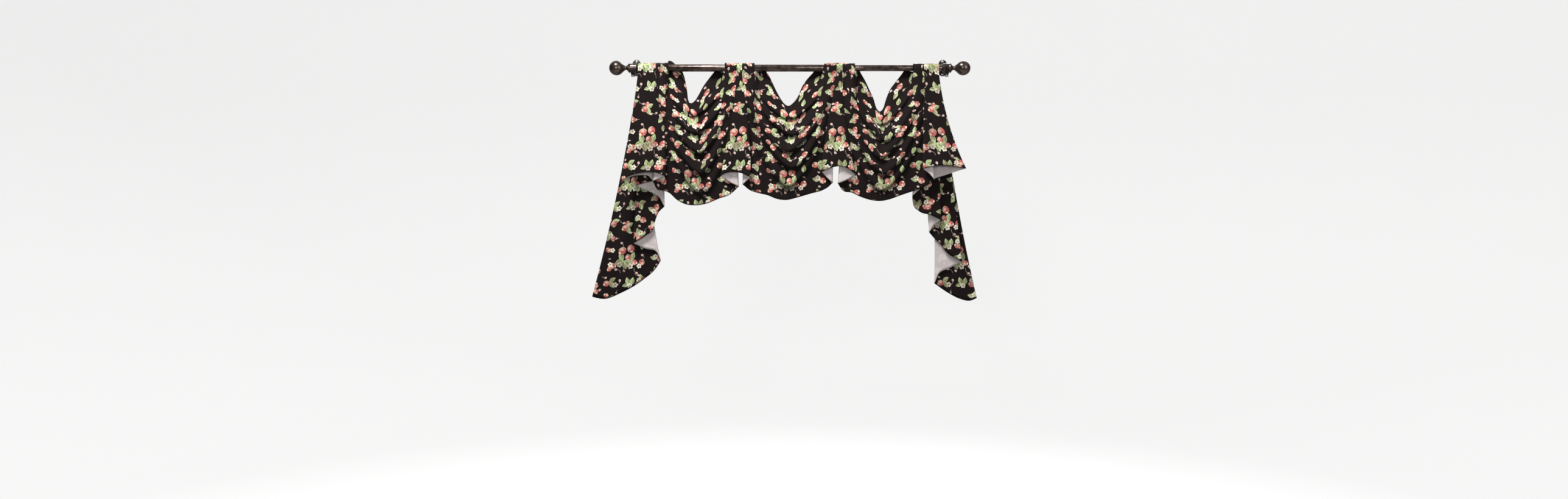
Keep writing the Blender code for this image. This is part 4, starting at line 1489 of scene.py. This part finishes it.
    def joined(self, fullness: float) -> tuple[np.ndarray, list[int]]:
        """Lays all the panels side by side.

        Args:
            fullness: How many times deeper than they are the swags' folds are taken to be.

        Returns:
            The drape's points, with the column on each fold once, and the first column of each
            panel followed by the last column.
        """
        panels = [self.panel_points(number, fullness) for number in range(len(PANELS))]
        starts = np.cumsum([0, *(panel.shape[1] - 1 for panel in panels)]).tolist()
        return np.concatenate([panels[0], *(panel[:, 1:] for panel in panels[1:])], axis=1), starts

    def tab_over(self, point: np.ndarray) -> Tab | None:
        """The tab that a point of the pleats' top lies on the front of.

        Args:
            point: The point.

        Returns:
            The tab, or None where the cloth ends below the rod.
        """
        for tab in TABS:
            within = tab.left_x - self.thickness < point[0] < tab.right_x + self.thickness
            if within and -point[1] >= self.tab_front:
                return tab
        return None

    def rumpled(self, points: np.ndarray) -> np.ndarray:
        """Gives the cloth the small unevenness of soft cotton.

        Args:
            points: The drape's points.

        Returns:
            The moved points.
        """
        moved = points.copy()
        for row, column in np.ndindex(points.shape[:2]):
            place = Vector(points[row, column]) / self.rumple_size
            place.z *= self.rumple_height
            uneven = noise.fractal(place, 1.0, 2.0, self.rumple_octaves)
            moved[row, column, 1] += self.rumple * uneven
        return moved

    def print_places(self, drape: np.ndarray, starts: list[int]) -> tuple[np.ndarray, np.ndarray]:
        """Where the drape lies on the flat printed cloth, in metres.

        Each face is laid out from its middle by the sideways share of its steps. The cloth between
        two faces goes half to each, so the print breaks inside the pleat.

        Args:
            drape: The drape's points.
            starts: First column of each panel, and the last column.

        Returns:
            Place along the cloth of each cell's left and right side, and height of each point.
        """
        across, out, rise = np.moveaxis(np.diff(drape, axis=1), -1, 0)
        lean = out / np.maximum(np.hypot(across, rise), self.least_run)
        steps = np.abs(across) * np.hypot(1.0, lean)
        reach = np.concatenate([np.zeros((len(drape), 1)), np.cumsum(steps, axis=1)], axis=1)
        along = np.zeros((2, *steps.shape))
        middles = [(first + last) // 2 for first, last in zip(starts, starts[1:])]
        for number, panel in enumerate(PANELS):
            if panel.print_column is None:
                continue
            first = middles[number - 1] if number else 0
            last = middles[number + 1] if number + 1 < len(PANELS) else starts[-1]
            shift = panel.print_column * PRINT_COLUMN - reach[:, middles[number], None]
            along[0, :, first:last] = reach[:, first:last] + shift
            along[1, :, first:last] = reach[:, first + 1:last + 1] + shift
        rises = np.linalg.norm(np.diff(drape, axis=0), axis=-1)[::-1]
        up = np.concatenate([np.zeros((1, drape.shape[1])), np.cumsum(rises, axis=0)])[::-1]
        return along, up + drape[-1:, :, 2] - self.bouquet_z

    def gathers(self, x: float, angles: np.ndarray) -> np.ndarray:
        """How far the gathered cloth stands off the rod along one line of a tab.

        Args:
            x: The line's place along the rod.
            angles: Angles round the rod.

        Returns:
            The height at each angle.
        """
        places = (Vector((x / self.gather_width, angle * self.gather_turn, 0)) for angle in angles)
        lift = np.array([noise.noise(place) for place in places])
        return self.gather_height * (self.gather_share + self.gather_spread * lift).clip(0, 1)

    def wrapped(self, top: np.ndarray, top_up: np.ndarray) -> tuple[np.ndarray, ...]:
        """Loops the tabs over the rod, row by row from their ends.

        Args:
            top: The points of the drape's top row.
            top_up: Their heights on the flat cloth.

        Returns:
            The points, their heights on the flat cloth, and which of them exist.
        """
        angles = np.radians(np.linspace(self.wrap_end_deg, self.wrap_start_deg, self.wrap_rows))
        wrap = np.zeros((self.wrap_rows, len(top), 3))
        wrap_up = np.repeat(top_up[None], self.wrap_rows, axis=0)
        exist = np.zeros((self.wrap_rows, len(top)), bool)
        for column, first in enumerate(top):
            tab = self.tab_over(first)
            if tab is None:
                continue
            sag = tab.radius - tab.tube_radius - self.thickness / 2 - self.tab_seat_gap
            radius = tab.radius + self.gathers(first[0], angles)
            wrap[:, column, 0] = first[0]
            wrap[:, column, 1] = -ROD_STANDOFF + radius * np.cos(angles)
            wrap[:, column, 2] = radius * np.sin(angles) - sag
            gap = np.linalg.norm(wrap[-1, column] - first)
            wrap_up[:, column] += tab.radius * (angles[-1] - angles) + gap
            exist[:, column] = True
        return wrap, wrap_up, exist

    def sheet_grid(self) -> tuple[np.ndarray, np.ndarray, np.ndarray, np.ndarray]:
        """Lays the whole sheet out, row by row from the tabs' ends.

        Returns:
            The points, the cells' places along the flat cloth, the points' heights on it, and
            which of the points exist.
        """
        drape, starts = self.joined(1.0)
        along, up = self.print_places(self.joined(self.print_fullness)[0], starts)
        wrap, wrap_up, looped = self.wrapped(drape[0], up[0])
        return (
            np.concatenate([wrap, self.rumpled(drape)]),
            np.concatenate([np.repeat(along[:, :1], self.wrap_rows, axis=1), along], axis=1),
            np.concatenate([wrap_up, up]),
            np.concatenate([looped, np.ones(drape.shape[:2], bool)]),
        )

    def grid_shape(
        self, points: np.ndarray, along: np.ndarray, up: np.ndarray, exist: np.ndarray
    ) -> bmesh.types.BMesh:
        """Makes the sheet from a grid, with its places on the flat cloth and its hem marked.

        Args:
            points: The sheet's points.
            along: Place along the flat cloth of each cell's left and right side.
            up: Height of each point on the flat cloth.
            exist: Which of the points exist.

        Returns:
            The sheet's shape.
        """
        rows, columns = exist.shape
        bm = bmesh.new()
        uv = bm.loops.layers.uv.new(self.cotton.uv_name)
        weights = bm.verts.layers.deform.verify()
        bmesh.ops.create_grid(bm, x_segments=columns - 1, y_segments=rows - 1, size=1)
        cell = {}
        for vert in bm.verts:
            column = round((vert.co.x + 1) / 2 * (columns - 1))
            row = round((1 - vert.co.y) / 2 * (rows - 1))
            vert.co = points[row, column]
            cell[vert] = row, column
            if up[row, column] - up[-1, column] < self.hem_width:
                vert[weights][0] = 1.0
        for face in bm.faces:
            face.smooth = True
            left = min(cell[vert][1] for vert in face.verts)
            for loop in face.loops:
                row, column = cell[loop.vert]
                loop[uv].uv = along[column - left, row, left], up[row, column]
        missing = [vert for vert, place in cell.items() if not exist[place]]
        bmesh.ops.delete(bm, geom=missing, context="VERTS")
        return bm

    def build(self) -> bpy.types.Object:
        """Builds the sheet and gives it its thickness and both its finishes.

        Returns:
            The cloth's object.
        """
        points, along, up, exist = self.sheet_grid()
        sheet = mesh_object("cloth_sheet", self.grid_shape(points, along, up, exist))
        sheet.vertex_groups.new(name="hem")
        for finish in self.cotton.materials():
            sheet.data.materials.append(finish)
        thicken = sheet.modifiers.new("Thickness", "SOLIDIFY")
        thicken.thickness = self.thickness
        thicken.offset = 0.0
        thicken.vertex_group = "hem"
        thicken.thickness_vertex_group = self.body_thickness_share
        thicken.material_offset = 1
        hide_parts("valance_cloth")
        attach(sheet, BODY)
        return sheet


# ---- the rod and what holds it --------------------------------------------------------------


class MetalPiece:
    """Shared ways of shaping and entering the turned and cast pieces."""

    def turned(
        self, profile: list[tuple[float, float]], axis: Point, centre: Point, start: Point,
        segments: int = 64,
    ) -> bmesh.types.BMesh:
        """Spins a profile round its axis.

        Args:
            profile: Closed or axis-to-axis (along, radius) points.
            axis: Direction of the axis.
            centre: A point on the axis.
            start: Direction in which the profile's radius is first measured.
            segments: How many faces go round.

        Returns:
            The turned shape.
        """
        along, out = Vector(axis), Vector(start)
        points = [Vector(centre) + along * a + out * r for a, r in profile]
        return spun(points, axis, centre, segments, closed=profile[0][1] > 0)

    def finished(
        self, bm: bmesh.types.BMesh, name: str, finish: bpy.types.Material, slot: str,
        replaced: str | None = None, sharp_deg: float = 38.0,
    ) -> bpy.types.Object:
        """Makes the piece's object, shades it and enters it in the frame.

        Args:
            bm: The piece's shape, which is freed.
            name: The piece's name.
            finish: Its material.
            slot: Not used.
            replaced: The solid that it stands for.
            sharp_deg: Edges sharper than this stay crisp.

        Returns:
            The piece's object.
        """
        piece = mesh_object(name, bm)
        piece.data.shade_smooth()
        piece.data.set_sharp_from_angle(angle=math.radians(sharp_deg))
        piece.data.materials.append(finish)
        if replaced:
            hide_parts(replaced)
        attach(piece, BODY)
        LOG.info("%s: %d faces", name, len(piece.data.polygons))
        return piece


@dataclass
class TelescopingRod(MetalPiece):
    """The two tubes, the wide one with its end rolled in round the thin one."""

    finish: bpy.types.Material
    wall: float = 0.0010
    wide_ends: tuple[float, float] = (-0.484, 0.150)
    thin_ends: tuple[float, float] = (0.030, 0.484)
    roll: float = 0.0006
    crisp_deg: float = 50.0

    def build(self) -> None:
        """Builds both tubes."""
        for name, (start, end), radius in (
            ("rod_wide_tube", self.wide_ends, WIDE_TUBE_RADIUS),
            ("rod_thin_tube", self.thin_ends, THIN_TUBE_RADIUS),
        ):
            inside = radius - self.wall
            profile = [
                (start + self.roll, radius), (end - self.roll, radius), (end, radius - self.roll),
                (end, inside), (start, inside), (start, radius - self.roll),
            ]
            bm = self.turned(profile, (1, 0, 0), (0, -ROD_STANDOFF, 0), (0, 0, 1))
            self.finished(
                bm, f"{name}_fine", self.finish, "bronze", name, sharp_deg=self.crisp_deg
            )


@dataclass
class BallFinial(MetalPiece):
    """Turned finial: socket, flange with a sharp rim, thin neck and a ball drawn out to it."""

    side: Side
    tube_radius: float
    finish: bpy.types.Material
    collar_start: float = 0.4645
    collar_radius: float = 0.0135
    edge: float = 0.0007
    flange_x: float = 0.4875
    # Distance from the flange's rim along the rod, and radius
    flange_profile: tuple[tuple[float, float], ...] = (
        (-0.0062, 0.0135), (-0.0056, 0.0128), (-0.0046, 0.0128), (-0.0014, 0.0143),
        (-0.0004, 0.0150), (0.0006, 0.0146), (0.0032, 0.0105), (0.0058, 0.0078),
        (0.0083, 0.0063), (0.0105, 0.0060), (0.0121, 0.0066),
    )
    ball_x: float = 0.5258
    ball_radius: float = 0.0222
    ball_start_deg: float = 142.0
    ball_points: int = 28
    socket_end: float = 0.4846
    fit_gap: float = 0.0004

    def build(self) -> bpy.types.Object:
        """Turns the finial.

        Returns:
            The finial's object.
        """
        bore = self.tube_radius + self.fit_gap
        ball = [
            (self.ball_x + self.ball_radius * math.cos(a), self.ball_radius * math.sin(a))
            for a in np.radians(np.linspace(self.ball_start_deg, 0, self.ball_points))
        ]
        profile = [
            (self.socket_end, 0.0), (self.socket_end, bore), (self.collar_start, bore),
            (self.collar_start, self.collar_radius - self.edge),
            (self.collar_start + self.edge, self.collar_radius),
            *((self.flange_x + along, radius) for along, radius in self.flange_profile),
            *ball[:-1],
            (self.ball_x + self.ball_radius, 0.0),
        ]
        sign = self.side.value
        bm = self.turned(
            [(sign * along, radius) for along, radius in profile],
            (1, 0, 0), (0, -ROD_STANDOFF, 0), (0, 0, 1),
        )
        label = self.side.name.lower()
        return self.finished(bm, f"finial_{label}_fine", self.finish, "bronze", f"finial_{label}")


@dataclass
class Thumbscrew(MetalPiece):
    """Screw under the cradle, with a knurled head."""

    side: Side
    x: float
    finish: bpy.types.Material
    shank_radius: float = 0.0022
    head_radius: float = 0.0052
    head_height: float = 0.0045
    head_top: float = -0.0219
    tip: float = -0.0139
    edge: float = 0.0005
    ridges: int = 24
    ridge_depth: float = 0.00035
    faces_per_ridge: int = 4

    def knurl(self, bm: bmesh.types.BMesh) -> None:
        """Cuts ridges into the head's rim.

        Args:
            bm: The screw's shape.
        """
        for vert in bm.verts:
            out = Vector((vert.co.x - self.x, vert.co.y + ROD_STANDOFF))
            if out.length > self.head_radius - self.edge / 2:
                angle = math.atan2(out.y, out.x)
                trim = self.ridge_depth * (1 + math.cos(angle * self.ridges)) / 2
                out *= 1 - trim / out.length
                vert.co.x, vert.co.y = self.x + out.x, out.y - ROD_STANDOFF

    def build(self) -> bpy.types.Object:
        """Turns the screw and knurls its head.

        Returns:
            The screw's object.
        """
        edge, head_end = self.edge, self.head_top - self.head_height
        profile = [
            (self.tip, 0.0), (self.tip, self.shank_radius - edge),
            (self.tip - edge, self.shank_radius), (self.head_top, self.shank_radius),
            (self.head_top, self.head_radius - edge), (self.head_top - edge, self.head_radius),
            (head_end + edge, self.head_radius), (head_end, self.head_radius - edge),
            (head_end, 0.0),
        ]
        bm = self.turned(
            profile, (0, 0, 1), (self.x, -ROD_STANDOFF, 0), (1, 0, 0),
            segments=self.ridges * self.faces_per_ridge,
        )
        self.knurl(bm)
        label = self.side.name.lower()
        return self.finished(
            bm, f"thumbscrew_{label}_fine", self.finish, "dark_iron", f"thumbscrew_{label}"
        )


@dataclass
class WallBracket(MetalPiece):
    """Wall plate, arm and cradle as one casting, and the two screws in its plate."""

    side: Side
    finish: bpy.types.Material
    screw_finish: bpy.types.Material
    x_from_middle: float = 0.476
    screw_heights: tuple[float, float] = (-0.0115, 0.0285)
    head_radius: float = 0.0040
    head_height: float = 0.0016
    head_points: int = 9
    head_segments: int = 32
    plate_thickness: float = 0.004
    screw_gap: float = 0.0001
    slot_width: float = 0.0009
    slot_reach: float = 0.45
    slot_depth: float = 0.35

    @property
    def x(self) -> float:
        """The bracket's place along the rod."""
        return self.side.value * self.x_from_middle

    def build(self) -> None:
        """Dresses the casting, and adds its wall screws."""
        label = self.side.name.lower()
        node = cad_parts[f"bracket_{label}"]
        node.data.materials.clear()
        node.data.materials.append(self.finish)
        LOG.info("bracket_%s: casting in %s", label, self.finish.name)
        for end, z in zip(("bottom", "top"), self.screw_heights):
            self.wall_screw(f"wall_screw_{label}_{end}", z)

    def wall_screw(self, name: str, z: float) -> bpy.types.Object:
        """Turns a round screw head and cuts its slot.

        Args:
            name: The piece's name.
            z: Its height.

        Returns:
            The screw head's object.
        """
        dome = [
            (self.head_height * math.sin(a), self.head_radius * math.cos(a))
            for a in np.linspace(0, math.pi / 2, self.head_points)
        ]
        seat_y = -self.plate_thickness - self.screw_gap
        bm = self.turned(
            [(0.0, 0.0), *dome[:-1], (self.head_height, 0.0)],
            (0, -1, 0), (self.x, seat_y, z), (1, 0, 0), segments=self.head_segments,
        )
        for vert in bm.verts:
            above = seat_y - vert.co.y > self.head_height * self.slot_reach
            if above and abs(vert.co.z - z) < self.slot_width:
                vert.co.y += self.head_height * self.slot_depth
        return self.finished(bm, name, self.screw_finish, "dark_iron")


# ---- studio ---------------------------------------------------------------------------------


@dataclass(frozen=True)
class SoftBox:
    """A square light of the studio."""

    name: str
    place: Point
    size: float
    power: float
    tint: Colour = (1.0, 1.0, 1.0)

    def build(self, aim: Point) -> None:
        """Adds the light.

        Args:
            aim: The point that it faces.
        """
        lamp = bpy.data.lights.new(self.name, "AREA")
        lamp.shape = "SQUARE"
        lamp.size = self.size
        lamp.energy = self.power
        lamp.color = self.tint
        box = add_object(self.name, lamp)
        box.location = self.place
        away = Vector(aim) - Vector(self.place)
        box.rotation_euler = away.to_track_quat("-Z", "Y").to_euler()
        LOG.info("%s light: %.0f W", self.name, self.power)


SOFT_BOXES = (
    SoftBox("key", (-0.9, -1.7, 2.5), 0.9, 170.0, (1.0, 0.985, 0.965)),
    SoftBox("fill", (2.6, -2.8, 0.6), 2.0, 30.0, (0.97, 0.985, 1.0)),
    SoftBox("window", (-0.5, -3.8, 0.35), 0.45, 30.0),
    SoftBox("back", (0.6, 2.8, 1.6), 2.4, 40.0),
)


@dataclass
class Studio:
    """Pale floor that curves up all round, soft lights and the camera."""

    floor_z: float = -2.10
    floor_radius: float = 7.0
    rise: float = 5.5
    bend: float = 2.5
    bend_points: int = 12
    floor_segments: int = 96
    pale: Colour = (0.86, 0.86, 0.865)
    paler: Colour = (0.88, 0.88, 0.885)
    grain_scale: float = 3.0
    bounce: Colour = (0.36, 0.355, 0.35)
    white: Colour = (1.0, 1.0, 1.0)
    glow: float = 0.50
    sky_strength: float = 0.36
    light_aim: Point = (0.0, -0.09, -0.35)
    camera_place: Point = (-0.0176, -3.355, -0.348)
    frame_width_px: float = 2576.0
    focal_px: float = 1770.0
    horizon_drop_px: float = 109.5
    sensor: float = 36.0

    def paper(self) -> bpy.types.Material:
        """Makes the floor's pale paper, which gives back less light than the camera sees.

        Returns:
            The paper's material.
        """
        made, wiring, shader = new_material("studio paper")
        seen = wiring.node("LightPath").outputs["Is Camera Ray"]
        grain = wiring.noise(wiring.node("TexCoord").outputs["Object"], self.grain_scale)
        pale = wiring.mix(grain, self.pale, self.paler)
        wiring.fill(shader, {
            "Base Color": wiring.mix(seen, self.bounce, pale),
            "Emission Color": self.white,
            "Emission Strength": wiring.math("MULTIPLY", seen, self.glow),
            "Roughness": 0.9,
        })
        made.cycles.emission_sampling = "NONE"
        return made

    def floor(self) -> bpy.types.Object:
        """Builds the floor as a wide dish.

        Returns:
            The floor's object.
        """
        flat_radius = self.floor_radius - self.bend
        profile = [(0.0, 0.0)]
        for a in np.linspace(0, math.pi / 2, self.bend_points):
            radius = flat_radius + self.bend * math.sin(a)
            profile.append((radius, self.bend * (1 - math.cos(a))))
        profile.append((self.floor_radius, self.rise))
        points = [Vector((radius, 0, self.floor_z + up)) for radius, up in profile]
        bm = spun(points, (0, 0, 1), (0, 0, 0), self.floor_segments, closed=False)
        dish = mesh_object("studio_floor", bm)
        dish.data.shade_smooth()
        dish.data.materials.append(self.paper())
        LOG.info("studio floor: %d faces", len(dish.data.polygons))
        return dish

    def sky(self) -> None:
        """Lights the dish evenly from above."""
        world = bpy.data.worlds.new("studio sky")
        world.use_nodes = True
        values = {"Color": self.white, "Strength": self.sky_strength}
        Wiring(world.node_tree).fill(world.node_tree.nodes["Background"], values)
        bpy.context.scene.world = world

    def camera(self) -> None:
        """Sets the camera level, straight on to the rod, with the horizon below the middle."""
        data = bpy.data.cameras.new("camera")
        data.sensor_width = self.sensor
        data.lens = self.sensor * self.focal_px / self.frame_width_px
        data.shift_y = -self.horizon_drop_px / self.frame_width_px
        made = add_object("camera", data)
        made.location = self.camera_place
        made.rotation_euler = (math.pi / 2, 0, 0)
        bpy.context.scene.camera = made

    def build(self) -> None:
        """Builds the floor, the lights and the camera."""
        self.floor()
        for box in SOFT_BOXES:
            box.build(self.light_aim)
        self.sky()
        self.camera()


def main() -> None:
    """Builds the valance and its studio."""
    logging.basicConfig(level=logging.INFO, format="%(name)s: %(message)s")
    patina = Patina("patina")
    bronze, iron = BRONZE.material(patina), IRON.material(patina)
    steel = SCREW_STEEL.material(patina)
    TelescopingRod(bronze).build()
    for side, tube_radius in ((Side.LEFT, WIDE_TUBE_RADIUS), (Side.RIGHT, THIN_TUBE_RADIUS)):
        BallFinial(side, tube_radius, bronze).build()
        bracket = WallBracket(side, iron, steel)
        bracket.build()
        Thumbscrew(side, bracket.x, steel).build()
    ValanceCloth().build()
    Studio().build()
    bpy.context.scene.view_settings.view_transform = "Standard"


if __name__ == "__main__":
    main()
